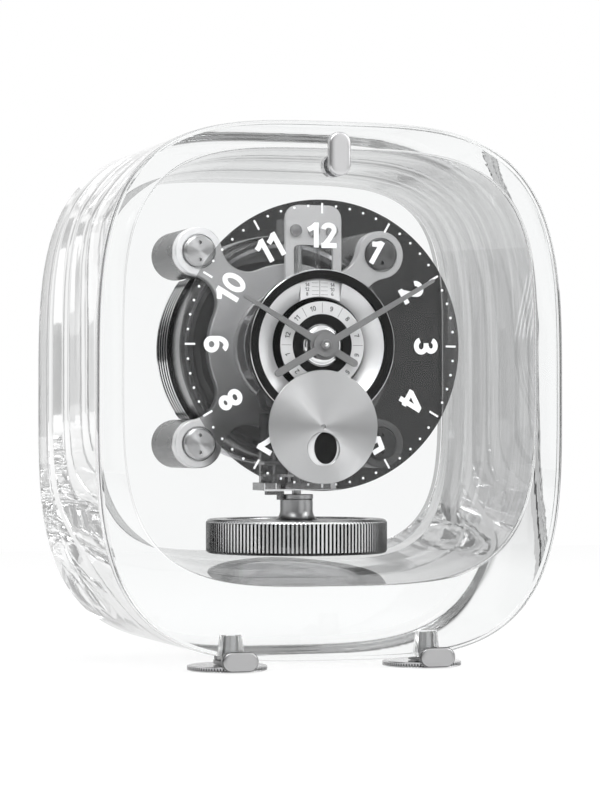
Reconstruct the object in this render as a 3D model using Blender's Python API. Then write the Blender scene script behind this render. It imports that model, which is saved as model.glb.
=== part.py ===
"""Atmospheric clock: a torsion-pendulum movement on four pillars inside a block of clear crystal.

Metres, +Z up. The clock faces -Y, X runs to its right as seen from the front, and the origin is on
the surface it stands on, under the middle of its bounding box. Depths are measured back from the
dial's face and heights up from the dial's centre, and `at` turns them into places.
"""
import math

import bmesh
import bpy

# Fits shared by all pieces
TOUCH = 0.0003
RUN = 0.0005
OVERRUN = 0.001

# Sides of round shapes, from the block down to pins
FINEST = 48
FINE = 32
MEDIUM = 20
SMALL = 14
PIN = 8

# Crystal block, made to hold the dial and the movement with this much room and these walls
ROOM_BESIDE_DIAL = 0.0276
ROOM_OVER_DIAL = 0.0134
ROOM_UNDER_BALANCE = 0.0004
SIDE_WALL = 0.0110
TOP_WALL = 0.01125
BOTTOM_WALL = 0.03025
REAR_SIDE_WALL = 0.0152
REAR_TOP_WALL = 0.01685
REAR_BOTTOM_WALL = 0.04105
CASE_POWER = 3.5
CASE_FRONT_EDGE = 0.0018
CASE_REAR_EDGE = 0.0050
OPENING_POWER = 3.7
OPENING_EDGE = 0.0008
REAR_OPENING_POWER = 4.3
REAR_REBATE_STEP = 0.0014
REAR_REBATE_DEPTH = 0.0107

# Panes
DOOR_THICKNESS = 0.0044
DOOR_INSET = 0.0003
DOOR_EDGE = 0.0007
REAR_GLASS_THICKNESS = 0.0040

# Dial, whose face and centre everything else is measured from
DIAL_SET_BACK = 0.0164
DIAL_RADIUS = 0.0594
DIAL_THICKNESS = 0.0016

# Foot clips that hold the door's lower edge, and the feet
CLIP_GAP = 0.0011
OVAL_THICKNESS = 0.0032
CLIP_OVAL_WIDTH = 0.0150
CLIP_OVAL_HEIGHT = 0.0080
CLIP_OVAL_LIFT = 0.0006
CLIP_ARM_WIDTH = 0.0110
CLIP_ARM_THICKNESS = 0.0017
CLIP_ARM_TAIL = 0.0062
FOOT_SPREAD = 0.0830
STUD_TOP_RADIUS = 0.0043
STUD_BASE_RADIUS = 0.0053
STUD_HEIGHT = 0.0082
STUD_STEM_RADIUS = 0.0026
DISC_RADIUS = 0.0161
DISC_THICKNESS = 0.0023
DISC_TEETH = 24
DISC_TOOTH_DEPTH = 0.0004
DISC_GAP = 0.00034
DISC_SET_BACK = 0.0004
REAR_FOOT_RADIUS = 0.0090
REAR_FOOT_STEM_RADIUS = 0.0040
REAR_FOOT_STEM_LENGTH = 0.0070
REAR_FOOT_INSET = 0.0180

# Door latch
LATCH_WIDTH = 0.0091
LATCH_HEIGHT = 0.0176
LATCH_GAP = 0.0009
LATCH_SPINDLE_RADIUS = 0.0022
CAM_RADIUS = 0.0047
CAM_GAP = 0.00195
CAM_THICKNESS = 0.0050

# Pillars, bridge and drum behind the dial
PILLAR_STANDOFF = 0.01005
PILLAR_LENGTH = 0.0347
PILLAR_RADIUS = 0.0103
PILLAR_EDGE = 0.0006
BRIDGE_THICKNESS = 0.0046
BRIDGE_INSET = 0.0109
BRIDGE_FILLET = 0.0116
BRIDGE_BORE = 0.0080
LOBE_RADIUS = 0.0102
SCREW_HEAD_RADIUS = 0.0066
SCREW_HEAD_HEIGHT = 0.0036
SCREW_SEAT_DEPTH = 0.0017
SCREW_SHANK_RADIUS = 0.0030
SCREW_GRIP = 0.0080
SCREW_SLOT_RADIUS = 0.0008
SCREW_SLOT_SPACING = 0.0072
DRUM_GAP = 0.0010
DRUM_RADIUS = 0.0468
DRUM_RIB_HEIGHT = 0.0020
DRUM_GROOVE_DEPTH = 0.0004
DRUM_RIBS = 5
DRUM_RIB_ZONE = 0.0190
DRUM_WALL = 0.0022
DRUM_RIM_WIDTH = 0.0060
DRUM_RIM_BEVEL = 0.0022
DRUM_RIM_DEPTH = 0.0044
CAPSULE_ROOM = 0.0023
CAPSULE_GROOVE = 0.0024
CAPSULE_FOLDS = 3
CAPSULE_LID_THICKNESS = 0.0018
CAPSULE_LID_BOSS_RADIUS = 0.0060
CAPSULE_LID_BOSS_HEIGHT = 0.0014
CAPSULE_TRAVEL = 0.0020

# Movement plates and posts
FRONT_PLATE_BEHIND_DIAL = 0.0092
FRONT_PLATE_THICKNESS = 0.0017
FRONT_PLATE_BORE_GAP = 0.0007
MAIN_PLATE_RADIUS = 0.0253
MAIN_PLATE_THICKNESS = 0.0036
MAIN_PLATE_GAP = 0.0019
TRAIN_BRIDGE_THICKNESS = 0.0018
TRAIN_BRIDGE_GAP = 0.0018
TRAIN_BRIDGE_RADIUS = 0.0250
POST_RADIUS = 0.0021
POST_INSET = 0.0029
POST_GAP = 0.00015
POST_ANGLES = (30, 150, 210, 330)

# Wheel train between the plates
WHEEL_THICKNESS = 0.0012
ARBOR_RADIUS = 0.0012
TOOTH_DEPTH = 0.0007
TEETH = 10
CENTRE_WHEEL_RADIUS = 0.0146
CENTRE_WHEEL_GAP = 0.0021
CONTRATE_X = -0.0100
CONTRATE_Z = -0.0200
CONTRATE_RADIUS = 0.0086
CONTRATE_GAP = 0.0022
BARREL_RADIUS = 0.0072
BARREL_HEIGHT = 0.0078
HOUR_WHEEL_RADIUS = 0.0090
HOUR_WHEEL_GAP = 0.0007
MINUTE_WHEEL_RADIUS = 0.0055
MINUTE_WHEEL_GAP = 0.00035
MINUTE_WHEEL_ANGLE = 135

# Balance, hanging below the movement on its wire
TUBE_GAP = 0.0007
BALANCE_RADIUS = 0.0379
BALANCE_HEIGHT = 0.0143
BALANCE_RIM_WIDTH = 0.0085
BALANCE_EDGE = 0.0012
BALANCE_WEB_TOP_DROP = 0.0007
BALANCE_WEB_THICKNESS = 0.0040
HUB_RADIUS = 0.00685
HUB_FLARE_RADIUS = 0.0107
HUB_FLARE_HEIGHT = 0.0042
HUB_HEIGHT = 0.0082
COLLAR_HEIGHT = 0.0020
COLLAR_GAP = 0.0017
COLLAR_STEP = 0.00015
STAFF_RADIUS = 0.0013
ROLLER_RADIUS = 0.0026
ROLLER_THICKNESS = 0.0016

# Suspension above the balance
WIRE_RADIUS = 0.00035
TUBE_RADIUS = 0.0023
TUBE_BORE = 0.0013
TOP_PLATE_GAP = 0.0004
TOP_PLATE_THICKNESS = 0.0020
TOP_PLATE_WIDTH = 0.0240
TOP_PLATE_MARGIN = 0.0045
TOP_PLATE_CORNER = 0.0055
WINDOW_WIDTH = 0.0170
WINDOW_HEIGHT = 0.0144
WINDOW_LIFT = 0.0002
WINDOW_CORNER = 0.0020
BLOCK_WIDTH = 0.0150
BLOCK_HEIGHT = 0.0095
BLOCK_GAP = 0.0020
BLOCK_BACK_WALL = 0.0040
TOP_SCREW_SPACING = 0.0078
TOP_SCREW_LIFT = 0.0034
TOP_SCREW_RADIUS = 0.0026
TOP_SCREW_RISE = 0.0009
LEVEL_TUBE_RADIUS = 0.0052
LEVEL_TUBE_GAP = 0.0015
LEVEL_TUBE_LENGTH = 0.0150
LEVEL_TUBE_WALL = 0.0007
LEVEL_FOOT_THICKNESS = 0.0024
LEVEL_FOOT_GAP = 0.0008

# Escapement under the movement
LOWER_PLATE_WIDTH = 0.0336
LOWER_PLATE_THICKNESS = 0.0032
LOWER_PLATE_REACH = 0.0085
LOWER_WALL_WIDTH = 0.0280
LOWER_WALL_GAP = 0.0022
LOWER_WALL_THICKNESS = 0.0030
STAFF_HOLE_RADIUS = 0.0034
COCK_THICKNESS = 0.0014
COCK_DROP = 0.0189
COCK_OVERHANG = 0.0072
COCK_RIGHT = 0.0060
COCK_REACH = 0.0107
ESCAPE_ROOM = 0.0075
ESCAPE_LIFT = 0.0024
ESCAPE_X = -0.0100
ESCAPE_REACH = 0.0009
ESCAPE_RADIUS = 0.0050
ESCAPE_TEETH = 15
ESCAPE_TOOTH_DEPTH = 0.0011
ESCAPE_PINION_RADIUS = 0.0013
LEVER_X = -0.0055
LEVER_REACH = 0.0077
LEVER_WIDTH = 0.0012
LEVER_PALLET_SPAN = 0.0046
LOCK_X = -0.0140
LOCK_REACH = 0.0057
LOCK_THICKNESS = 0.0015
LOCK_WIDTH = 0.0022
LOCK_DROP = 0.0021
LOCK_GAP = 0.0006

# Dial work in front of the front plate
RING_WIDTH = 0.0037
RING_FLANGE_WIDTH = 0.0022
RING_FLANGE_THICKNESS = 0.0016
RING_RISE = 0.0010
DISH_MARGIN = 0.0018
DISH_WIDTH = 0.0075
DISH_FRONT_BEHIND_DIAL = 0.0006
DISH_DEPTH = 0.0040
DISH_SEAT_WIDTH = 0.0038
SCALE_WIDTH = 0.0172
SCALE_THICKNESS = 0.0008
SCALE_BEHIND_DIAL = 0.0031
WELL_MARGIN = 0.0039
WELL_BEHIND_DIAL = 0.0070
MONTH_RADIUS = 0.0179
MONTH_BORE = 0.0087
MONTH_THICKNESS = 0.0010
MONTH_RISE = 0.0002
MONTH_HUB_LAP = 0.0025
PIPE_RADIUS = 0.0041
PIPE_BORE = 0.0020
HAND_THICKNESS = 0.0009
HOUR_HAND_GAP = 0.0006
MINUTE_HAND_GAP = 0.0007
HOUR_HAND_MARGIN = 0.0201
HOUR_HAND_TAIL = 0.0162
MINUTE_HAND_MARGIN = 0.0053
MINUTE_HAND_TAIL = 0.0248
HAND_ROOT_WIDTH = 0.0031
HAND_TIP_WIDTH = 0.0018
HOUR_HUB_RADIUS = 0.0062
MINUTE_HUB_RADIUS = 0.0050
HOUR_ANGLE = -60.0
MINUTE_ANGLE = 60.0
NUT_RADIUS = 0.0022
NUT_HEIGHT = 0.0009
MOON_PLATE_RADIUS = 0.0232
MOON_PLATE_THICKNESS = 0.0008
MOON_WINDOW_RADIUS = 0.0068
MOON_WINDOW_OFFSET = 0.0090
MOON_WINDOW_LAP = 0.0005
MOON_PEEP_RADIUS = 0.0009
MOON_DISC_RADIUS = 0.0104
MOON_DISC_THICKNESS = 0.0005
MOON_STUB_RADIUS = 0.0010
MOON_STUB_REACH = 0.0020

# The round stack of the dial work, from the inside out
MONTH_HUB_BORE = PIPE_RADIUS + RUN
MONTH_HUB_FLANGE = MONTH_BORE + MONTH_HUB_LAP
DISH_INNER_RADIUS = MONTH_RADIUS + DISH_MARGIN
WELL_RADIUS = DISH_INNER_RADIUS + WELL_MARGIN
RING_INNER_RADIUS = DISH_INNER_RADIUS + DISH_WIDTH
RING_OUTER_RADIUS = RING_INNER_RADIUS + RING_WIDTH
DIAL_HOLE_RADIUS = RING_OUTER_RADIUS + TOUCH
RING_FLANGE_RADIUS = DIAL_HOLE_RADIUS + RING_FLANGE_WIDTH
DISH_SEAT_RADIUS = RING_INNER_RADIUS + DISH_SEAT_WIDTH
FRONT_PLATE_BORE = PIPE_RADIUS + FRONT_PLATE_BORE_GAP
MINUTE_WHEEL_DISTANCE = HOUR_WHEEL_RADIUS + MINUTE_WHEEL_GAP + MINUTE_WHEEL_RADIUS
MINUTE_WHEEL_X = MINUTE_WHEEL_DISTANCE * math.cos(math.radians(MINUTE_WHEEL_ANGLE))
MINUTE_WHEEL_Z = MINUTE_WHEEL_DISTANCE * math.sin(math.radians(MINUTE_WHEEL_ANGLE))
POST_CIRCLE = MINUTE_WHEEL_DISTANCE + MINUTE_WHEEL_RADIUS + POST_GAP + POST_RADIUS
FRONT_PLATE_RADIUS = POST_CIRCLE + POST_INSET
HOUR_HAND_LENGTH = DIAL_RADIUS - HOUR_HAND_MARGIN
MINUTE_HAND_LENGTH = DIAL_RADIUS - MINUTE_HAND_MARGIN

# Depths behind the dial's face, each plate and wheel behind the one before it
MOON_PLATE_RISE = RING_RISE + TOUCH + MOON_PLATE_THICKNESS
HOUR_HAND_RISE = MOON_PLATE_RISE + HOUR_HAND_GAP + HAND_THICKNESS
MINUTE_HAND_RISE = HOUR_HAND_RISE + MINUTE_HAND_GAP + HAND_THICKNESS
FRONT_PLATE_BACK = FRONT_PLATE_BEHIND_DIAL + FRONT_PLATE_THICKNESS
TOP_PLATE_BEHIND_DIAL = FRONT_PLATE_BACK + TOP_PLATE_GAP
TOP_PLATE_BACK = TOP_PLATE_BEHIND_DIAL + TOP_PLATE_THICKNESS
HOUR_WHEEL_BEHIND_DIAL = FRONT_PLATE_BACK + HOUR_WHEEL_GAP
BARREL_BEHIND_DIAL = TOP_PLATE_BACK + TOUCH
CENTRE_WHEEL_BEHIND_DIAL = BARREL_BEHIND_DIAL + BARREL_HEIGHT + CENTRE_WHEEL_GAP
TRAIN_BRIDGE_BEHIND_DIAL = CENTRE_WHEEL_BEHIND_DIAL + WHEEL_THICKNESS + TRAIN_BRIDGE_GAP
CONTRATE_BEHIND_DIAL = TRAIN_BRIDGE_BEHIND_DIAL + TRAIN_BRIDGE_THICKNESS + CONTRATE_GAP
STAFF_BEHIND_DIAL = CONTRATE_BEHIND_DIAL + WHEEL_THICKNESS + TUBE_GAP + TUBE_RADIUS
LEVEL_TUBE_BEHIND_DIAL = TOP_PLATE_BACK + LEVEL_TUBE_GAP + LEVEL_TUBE_RADIUS
LOWER_PLATE_FRONT_BEHIND_DIAL = STAFF_BEHIND_DIAL - LOWER_PLATE_REACH
COCK_FRONT_BEHIND_DIAL = STAFF_BEHIND_DIAL - COCK_REACH
ESCAPE_BEHIND_DIAL = STAFF_BEHIND_DIAL - ESCAPE_REACH
COLLAR_RADIUS = HUB_RADIUS + COLLAR_STEP
LEVER_BEHIND_DIAL = STAFF_BEHIND_DIAL - LEVER_REACH
LOCK_BEHIND_DIAL = STAFF_BEHIND_DIAL - LOCK_REACH
MAIN_PLATE_FRONT = STAFF_BEHIND_DIAL + TUBE_RADIUS + MAIN_PLATE_GAP
MAIN_PLATE_BACK = MAIN_PLATE_FRONT + MAIN_PLATE_THICKNESS
BRIDGE_BEHIND_DIAL = MAIN_PLATE_BACK + TOUCH
BRIDGE_BACK = BRIDGE_BEHIND_DIAL + BRIDGE_THICKNESS
PILLAR_BACK = BRIDGE_BACK + TOUCH + PILLAR_LENGTH
REAR_GLASS_BEHIND_DIAL = PILLAR_BACK + TOUCH

# The drum, the capsule in it and the pillars round it
DRUM_FRONT_BEHIND_DIAL = BRIDGE_BACK + DRUM_GAP
DRUM_RIB_RADIUS = DRUM_RADIUS + DRUM_RIB_HEIGHT
DRUM_GROOVE_RADIUS = DRUM_RADIUS - DRUM_GROOVE_DEPTH
CAPSULE_RADIUS = DRUM_RADIUS - DRUM_RIM_WIDTH - CAPSULE_ROOM
PILLAR_SPACING = (DRUM_RADIUS + PILLAR_STANDOFF) * math.sqrt(2)
BRIDGE_RADIUS = DRUM_RADIUS - BRIDGE_INSET

# Heights over the dial's centre
BARREL_Z = CENTRE_WHEEL_RADIUS + ARBOR_RADIUS + RUN
TOP_PLATE_BOTTOM = BARREL_Z + 2 * ARBOR_RADIUS
LEVEL_TUBE_BOTTOM = BARREL_Z + BARREL_RADIUS + LEVEL_FOOT_GAP + LEVEL_FOOT_THICKNESS + TOUCH
LEVEL_TUBE_TOP = LEVEL_TUBE_BOTTOM + LEVEL_TUBE_LENGTH
WINDOW_BOTTOM = LEVEL_TUBE_BOTTOM + WINDOW_LIFT
WINDOW_TOP = WINDOW_BOTTOM + WINDOW_HEIGHT
BLOCK_BOTTOM = LEVEL_TUBE_TOP + BLOCK_GAP
BLOCK_TOP = BLOCK_BOTTOM + BLOCK_HEIGHT
TOP_SCREW_HEIGHT = BLOCK_BOTTOM + TOP_SCREW_LIFT
TOP_PLATE_TOP = BLOCK_TOP + TOP_PLATE_MARGIN
LOWER_WALL_TOP = -MAIN_PLATE_RADIUS - LOWER_WALL_GAP
COCK_TOP = CONTRATE_Z - CONTRATE_RADIUS - COCK_DROP
COCK_LEFT = ESCAPE_X - COCK_OVERHANG
LOWER_PLATE_TOP = COCK_TOP - COCK_THICKNESS - ESCAPE_ROOM
LOWER_PLATE_BOTTOM = LOWER_PLATE_TOP - LOWER_PLATE_THICKNESS
ESCAPE_HEIGHT = LOWER_PLATE_TOP + ESCAPE_LIFT
BALANCE_TOP = LOWER_PLATE_BOTTOM - COLLAR_GAP - COLLAR_HEIGHT - HUB_HEIGHT
MOON_DISC_DROP = RING_OUTER_RADIUS + MOON_DISC_RADIUS + RUN
MOON_WINDOW_DROP = MOON_DISC_DROP + MOON_WINDOW_LAP
MOON_PLATE_DROP = MOON_WINDOW_DROP - MOON_WINDOW_OFFSET

# The block round all of it
OPENING_WIDTH = 2 * (DIAL_RADIUS + ROOM_BESIDE_DIAL)
CASE_WIDTH = OPENING_WIDTH + 2 * SIDE_WALL
REAR_OPENING_WIDTH = CASE_WIDTH - 2 * REAR_SIDE_WALL
REAR_OPENING_HEIGHT = ROOM_UNDER_BALANCE + BALANCE_HEIGHT - BALANCE_TOP + DIAL_RADIUS + ROOM_OVER_DIAL
CASE_HEIGHT = REAR_BOTTOM_WALL + REAR_OPENING_HEIGHT + REAR_TOP_WALL
OPENING_HEIGHT = CASE_HEIGHT - BOTTOM_WALL - TOP_WALL
OPENING_RISE = (BOTTOM_WALL - TOP_WALL) / 2
REAR_OPENING_RISE = (REAR_BOTTOM_WALL - REAR_TOP_WALL) / 2
CASE_DEPTH = DIAL_SET_BACK + PILLAR_BACK + REAR_REBATE_DEPTH


def underside_rise(x):
    """How much higher the block's underside is at a distance from its middle."""
    share = abs(x) / (CASE_WIDTH / 2)
    return CASE_HEIGHT / 2 * (1 - (1 - share**CASE_POWER) ** (1 / CASE_POWER))


# Places
CLIP_REACH = TOUCH + DOOR_THICKNESS + CLIP_GAP + OVAL_THICKNESS
CASE_FRONT = CLIP_REACH - (CASE_DEPTH + CLIP_REACH) / 2
CASE_BACK = CASE_FRONT + CASE_DEPTH
CLIP_ARM_TOP = DISC_THICKNESS + DISC_GAP + CLIP_ARM_THICKNESS
CASE_LIFT = CLIP_ARM_TOP + TOUCH - underside_rise(FOOT_SPREAD / 2 - CLIP_ARM_WIDTH / 2)
CASE_MIDDLE = CASE_LIFT + CASE_HEIGHT / 2
STUD_BASE = CASE_LIFT + underside_rise(FOOT_SPREAD / 2 + STUD_BASE_RADIUS)
DIAL_Y = CASE_FRONT + DIAL_SET_BACK
DIAL_Z = CASE_LIFT + REAR_BOTTOM_WALL + ROOM_UNDER_BALANCE + BALANCE_HEIGHT - BALANCE_TOP
DOOR_BACK = CASE_FRONT - TOUCH
DOOR_FRONT = DOOR_BACK - DOOR_THICKNESS
OVAL_BACK = DOOR_FRONT - CLIP_GAP
OVAL_FRONT = OVAL_BACK - OVAL_THICKNESS
REAR_GLASS_FRONT = DIAL_Y + REAR_GLASS_BEHIND_DIAL
REBATE_Y = REAR_GLASS_FRONT - TOUCH
FOOT_Y = OVAL_BACK + DISC_SET_BACK + DISC_RADIUS
REAR_FOOT_Y = CASE_BACK - REAR_FOOT_INSET


def at(x, behind, height):
    """A place from its x, its depth behind the dial's face and its height over the dial's centre."""
    return (x, DIAL_Y + behind, DIAL_Z + height)


# Shapes


def material(name, colour, roughness, metallic, clear=0.0):
    """One Principled material."""
    made = bpy.data.materials.new(name)
    made.use_nodes = True
    shader = made.node_tree.nodes["Principled BSDF"]
    shader.inputs["Base Color"].default_value = (*colour, 1.0)
    shader.inputs["Roughness"].default_value = roughness
    shader.inputs["Metallic"].default_value = metallic
    shader.inputs["Transmission Weight"].default_value = clear
    made.diffuse_color = (*colour, 1.0)
    return made


def soften(mesh):
    """Smooth shading, with the real edges kept sharp."""
    mesh.shade_smooth()
    mesh.set_sharp_from_angle(angle=math.radians(35))


def finish(name, bm, finish_material, place=(0, 0, 0)):
    """Makes the object of a mesh whose faces are turned outwards."""
    bmesh.ops.remove_doubles(bm, verts=bm.verts, dist=TOUCH / 1000)
    bmesh.ops.recalc_face_normals(bm, faces=bm.faces)
    mesh = bpy.data.meshes.new(name)
    bm.to_mesh(mesh)
    bm.free()
    mesh.materials.append(finish_material)
    soften(mesh)
    made = bpy.data.objects.new(name, mesh)
    made.location = place
    bpy.context.collection.objects.link(made)
    return made


def skin(bm, rings, closed):
    """Joins rings of equally many points; ends are capped, or the last ring joins the first."""
    loops = []
    for ring in rings:
        loops.append([bm.verts.new(point) for point in ring])
    pairs = list(zip(loops, loops[1:]))
    if closed:
        pairs.append((loops[-1], loops[0]))
    for low, high in pairs:
        count = len(low)
        for i in range(count):
            bm.faces.new((low[i], low[(i + 1) % count], high[(i + 1) % count], high[i]))
    if not closed:
        bm.faces.new(loops[0])
        bm.faces.new(list(reversed(loops[-1])))


def lofted(name, rings, finish_material, closed=False, place=(0, 0, 0)):
    """A solid through rings of points, or a frame when the rings close on themselves."""
    bm = bmesh.new()
    skin(bm, rings, closed)
    return finish(name, bm, finish_material, place)


def circle(radius, along, axis, count):
    """Points round an axis through the origin, at a distance along it."""
    turn = 2 * math.pi / count
    if axis == "Y":
        return [(radius * math.sin(i * turn), along, radius * math.cos(i * turn)) for i in range(count)]
    return [(radius * math.cos(i * turn), radius * math.sin(i * turn), along) for i in range(count)]


def turned(name, profile, axis, finish_material, place, closed=False, count=MEDIUM):
    """A turned piece from (radius, distance along the axis) pairs; closed makes a ring."""
    rings = [circle(radius, along, axis, count) for radius, along in profile]
    return lofted(name, rings, finish_material, closed, place)


def toothed(radius, depth, teeth, along, axis, count):
    """A ring of points with triangular teeth."""
    points = []
    for i in range(count):
        phase = (i * teeth / count) % 1.0
        reach = radius - depth * abs(2 * phase - 1)
        turn = 2 * math.pi * i / count
        if axis == "Y":
            points.append((reach * math.sin(turn), along, reach * math.cos(turn)))
        else:
            points.append((reach * math.cos(turn), reach * math.sin(turn), along))
    return points


def rounded_power(width, height, power, y, z, count):
    """A superellipse outline in the XZ plane, its points closer together round the corners."""
    points = []
    for i in range(count):
        turn = 2 * math.pi * i / count
        turn += math.sin(4 * turn) / 8
        across = abs(math.sin(turn)) / (width / 2)
        up = abs(math.cos(turn)) / (height / 2)
        reach = (across**power + up**power) ** (-1 / power)
        points.append((reach * math.sin(turn), y, z + reach * math.cos(turn)))
    return points


def slot_outline(width, height, count):
    """A round-ended outline, as (across, up), longer in the larger of its two sizes."""
    end = min(width, height) / 2
    straight = abs(width - height) / 2
    points = []
    for side in (1, -1):
        for i in range(count + 1):
            turn = math.pi * i / count
            along = side * (straight + end * math.sin(turn))
            across = side * end * math.cos(turn)
            points.append((across, along) if height > width else (along, -across))
    return points


def rounded_box_outline(left, right, bottom, top, corner_top, steps=5):
    """A rectangle whose two upper corners are round, as (across, up)."""
    points = [(left, bottom), (right, bottom)]
    for i in range(steps + 1):
        turn = math.pi / 2 * i / steps
        points.append((right - corner_top * (1 - math.cos(turn)), top - corner_top * (1 - math.sin(turn))))
    for i in range(steps + 1):
        turn = math.pi / 2 * i / steps
        points.append((left + corner_top * (1 - math.sin(turn)), top - corner_top * (1 - math.cos(turn))))
    return points


def extruded(name, outline, front, back, finish_material, place, axis="Y"):
    """A plate of an outline, between two distances along its axis."""
    if axis == "Y":
        rings = [[(x, y, z) for x, z in outline] for y in (front, back)]
    else:
        rings = [[(x, y, z) for x, y in outline] for z in (front, back)]
    return lofted(name, rings, finish_material, False, place)


def box(name, low, high, finish_material):
    """A rectangular piece between two corners, with its origin at its middle."""
    middle = [(a + b) / 2 for a, b in zip(low, high)]
    x, y, z = [(b - a) / 2 for a, b in zip(low, high)]
    outline = [(-x, -z), (x, -z), (x, z), (-x, z)]
    return extruded(name, outline, -y, y, finish_material, middle)


def cutter(made):
    """Hides a shape that only cuts or joins."""
    made.hide_render = True
    made.display_type = "WIRE"
    return made


def combine(body, tool, operation="DIFFERENCE"):
    """Cuts a hidden shape out of a body, or joins it on."""
    step = body.modifiers.new(operation.title(), "BOOLEAN")
    step.operation = operation
    step.solver = "EXACT"
    step.object = cutter(tool)
    return body


def drill(body, radius, axis, place, start, end, count=SMALL):
    """A round hole along an axis through a place, from one distance along it to another."""
    name = f"cut_{body.name}_{len(body.modifiers)}"
    tool = turned(name, ((radius, start), (radius, end)), axis, STEEL, place, count=count)
    return combine(body, tool)


def settle():
    """Keeps each cut piece as its final shape, and lets the cutters go."""
    ready = bpy.context.evaluated_depsgraph_get()
    cut = [made for made in bpy.data.objects if made.modifiers]
    shapes = [bpy.data.meshes.new_from_object(made.evaluated_get(ready)) for made in cut]
    for made, mesh in zip(cut, shapes):
        made.modifiers.clear()
        made.data = mesh
        soften(mesh)
    for made in [made for made in bpy.data.objects if made.hide_render]:
        bpy.data.objects.remove(made, do_unlink=True)


# Case


def crystal_case():
    """The clear block: a tapered opening right through, a rebate for the rear glass, stud sockets."""

    def outer(inset, y):
        width = CASE_WIDTH - 2 * inset
        height = CASE_HEIGHT - 2 * inset
        return rounded_power(width, height, CASE_POWER, y, CASE_MIDDLE, FINEST)

    def front_hole(grow, y):
        return rounded_power(
            OPENING_WIDTH + 2 * grow, OPENING_HEIGHT + 2 * grow, OPENING_POWER, y,
            CASE_MIDDLE + OPENING_RISE, FINEST,
        )

    rings = [front_hole(OPENING_EDGE, CASE_FRONT)]
    for i in range(3):
        turn = math.pi / 4 * i
        inset = CASE_FRONT_EDGE * (1 - math.sin(turn))
        rings.append(outer(inset, CASE_FRONT + CASE_FRONT_EDGE * (1 - math.cos(turn))))
    for i in range(4):
        turn = math.pi / 6 * i
        inset = CASE_REAR_EDGE * (1 - math.cos(turn))
        rings.append(outer(inset, CASE_BACK - CASE_REAR_EDGE * (1 - math.sin(turn))))
    rings.append(rear_hole(REAR_REBATE_STEP, CASE_BACK))
    rings.append(rear_hole(REAR_REBATE_STEP, REBATE_Y))
    rings.append(rear_hole(0, REBATE_Y))
    rings.append(front_hole(0, CASE_FRONT + OPENING_EDGE))
    made = lofted("crystal_case", rings, CRYSTAL, closed=True)
    for side in (-1, 1):
        foot = (side * FOOT_SPREAD / 2, FOOT_Y, STUD_BASE)
        socket = turned(
            f"cut_stud_socket_{side}",
            ((STUD_BASE_RADIUS + TOUCH, -OVERRUN * 3), (STUD_BASE_RADIUS + TOUCH, 0),
             (STUD_TOP_RADIUS + TOUCH, STUD_HEIGHT + TOUCH)),
            "Z", STEEL, foot, count=SMALL,
        )
        combine(made, socket)
    foot = (0, REAR_FOOT_Y, CASE_LIFT)
    return drill(made, REAR_FOOT_STEM_RADIUS + TOUCH, "Z", foot, -OVERRUN, REAR_FOOT_STEM_LENGTH + TOUCH)


def rear_hole(grow, y):
    """The opening's outline at the rear glass, larger by a step."""
    return rounded_power(
        REAR_OPENING_WIDTH + 2 * grow, REAR_OPENING_HEIGHT + 2 * grow, REAR_OPENING_POWER, y,
        CASE_MIDDLE + REAR_OPENING_RISE, FINEST,
    )


def rear_glass():
    """The pane that carries the four pillars."""
    grow = REAR_REBATE_STEP - TOUCH
    rings = [rear_hole(grow, REAR_GLASS_FRONT), rear_hole(grow, REAR_GLASS_FRONT + REAR_GLASS_THICKNESS)]
    return lofted("rear_glass", rings, GLASS)


def front_door():
    """The full-size front pane: it stands on the foot clips and tips forward about its lower edge."""
    axis_z = door_axis_z()

    def outline(inset, y):
        ring = rounded_power(
            CASE_WIDTH - 2 * (DOOR_INSET + inset), CASE_HEIGHT - 2 * (DOOR_INSET + inset), CASE_POWER,
            y - DOOR_FRONT, CASE_MIDDLE - axis_z, FINEST,
        )
        return ring

    rings = [
        outline(DOOR_EDGE, DOOR_FRONT),
        outline(0, DOOR_FRONT + DOOR_EDGE),
        outline(0, DOOR_BACK - DOOR_EDGE),
        outline(DOOR_EDGE, DOOR_BACK),
    ]
    made = lofted("front_door", rings, GLASS, place=(0, DOOR_FRONT, axis_z))
    x, y, z = latch_place()
    drill(made, LATCH_SPINDLE_RADIUS + TOUCH, "Y", (x, y, z), -OVERRUN, DOOR_THICKNESS + OVERRUN)
    return made


def door_axis_z():
    """Height of the line that the door tips about, just under its lowest point."""
    return CASE_LIFT + DOOR_INSET - TOUCH / 2


def latch_place():
    """Where the latch's spindle meets the door's front face."""
    top_of_opening = CASE_MIDDLE + OPENING_RISE + OPENING_HEIGHT / 2
    return (0, DOOR_FRONT, top_of_opening - CAM_RADIUS - CAM_GAP)


def latch_knob():
    """The oval knob on the door, turned about the middle of its lower end, with its spindle."""
    rise = (LATCH_HEIGHT - LATCH_WIDTH) / 2
    outline = [(x, z + rise) for x, z in slot_outline(LATCH_WIDTH, LATCH_HEIGHT, 12)]
    back = -LATCH_GAP
    made = extruded("latch_knob", outline, back - OVAL_THICKNESS, back, STEEL, latch_place())
    end = DOOR_THICKNESS + TOUCH + CAM_THICKNESS / 2
    profile = ((LATCH_SPINDLE_RADIUS, back - OVERRUN), (LATCH_SPINDLE_RADIUS, end))
    spindle = turned("join_latch_spindle", profile, "Y", STEEL, latch_place(), count=PIN)
    return combine(made, spindle, "UNION")


def latch_cam():
    """The round-ended cam behind the door, fixed on the spindle."""
    x, y, z = latch_place()
    place = (x, y + DOOR_THICKNESS + TOUCH, z)
    edge = OPENING_EDGE
    profile = ((CAM_RADIUS, 0), (CAM_RADIUS, CAM_THICKNESS - edge), (CAM_RADIUS - edge, CAM_THICKNESS))
    made = turned("latch_cam", profile, "Y", STEEL, place, count=SMALL)
    return drill(made, LATCH_SPINDLE_RADIUS + TOUCH, "Y", place, -OVERRUN, CAM_THICKNESS / 2 + TOUCH)


# Feet


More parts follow.
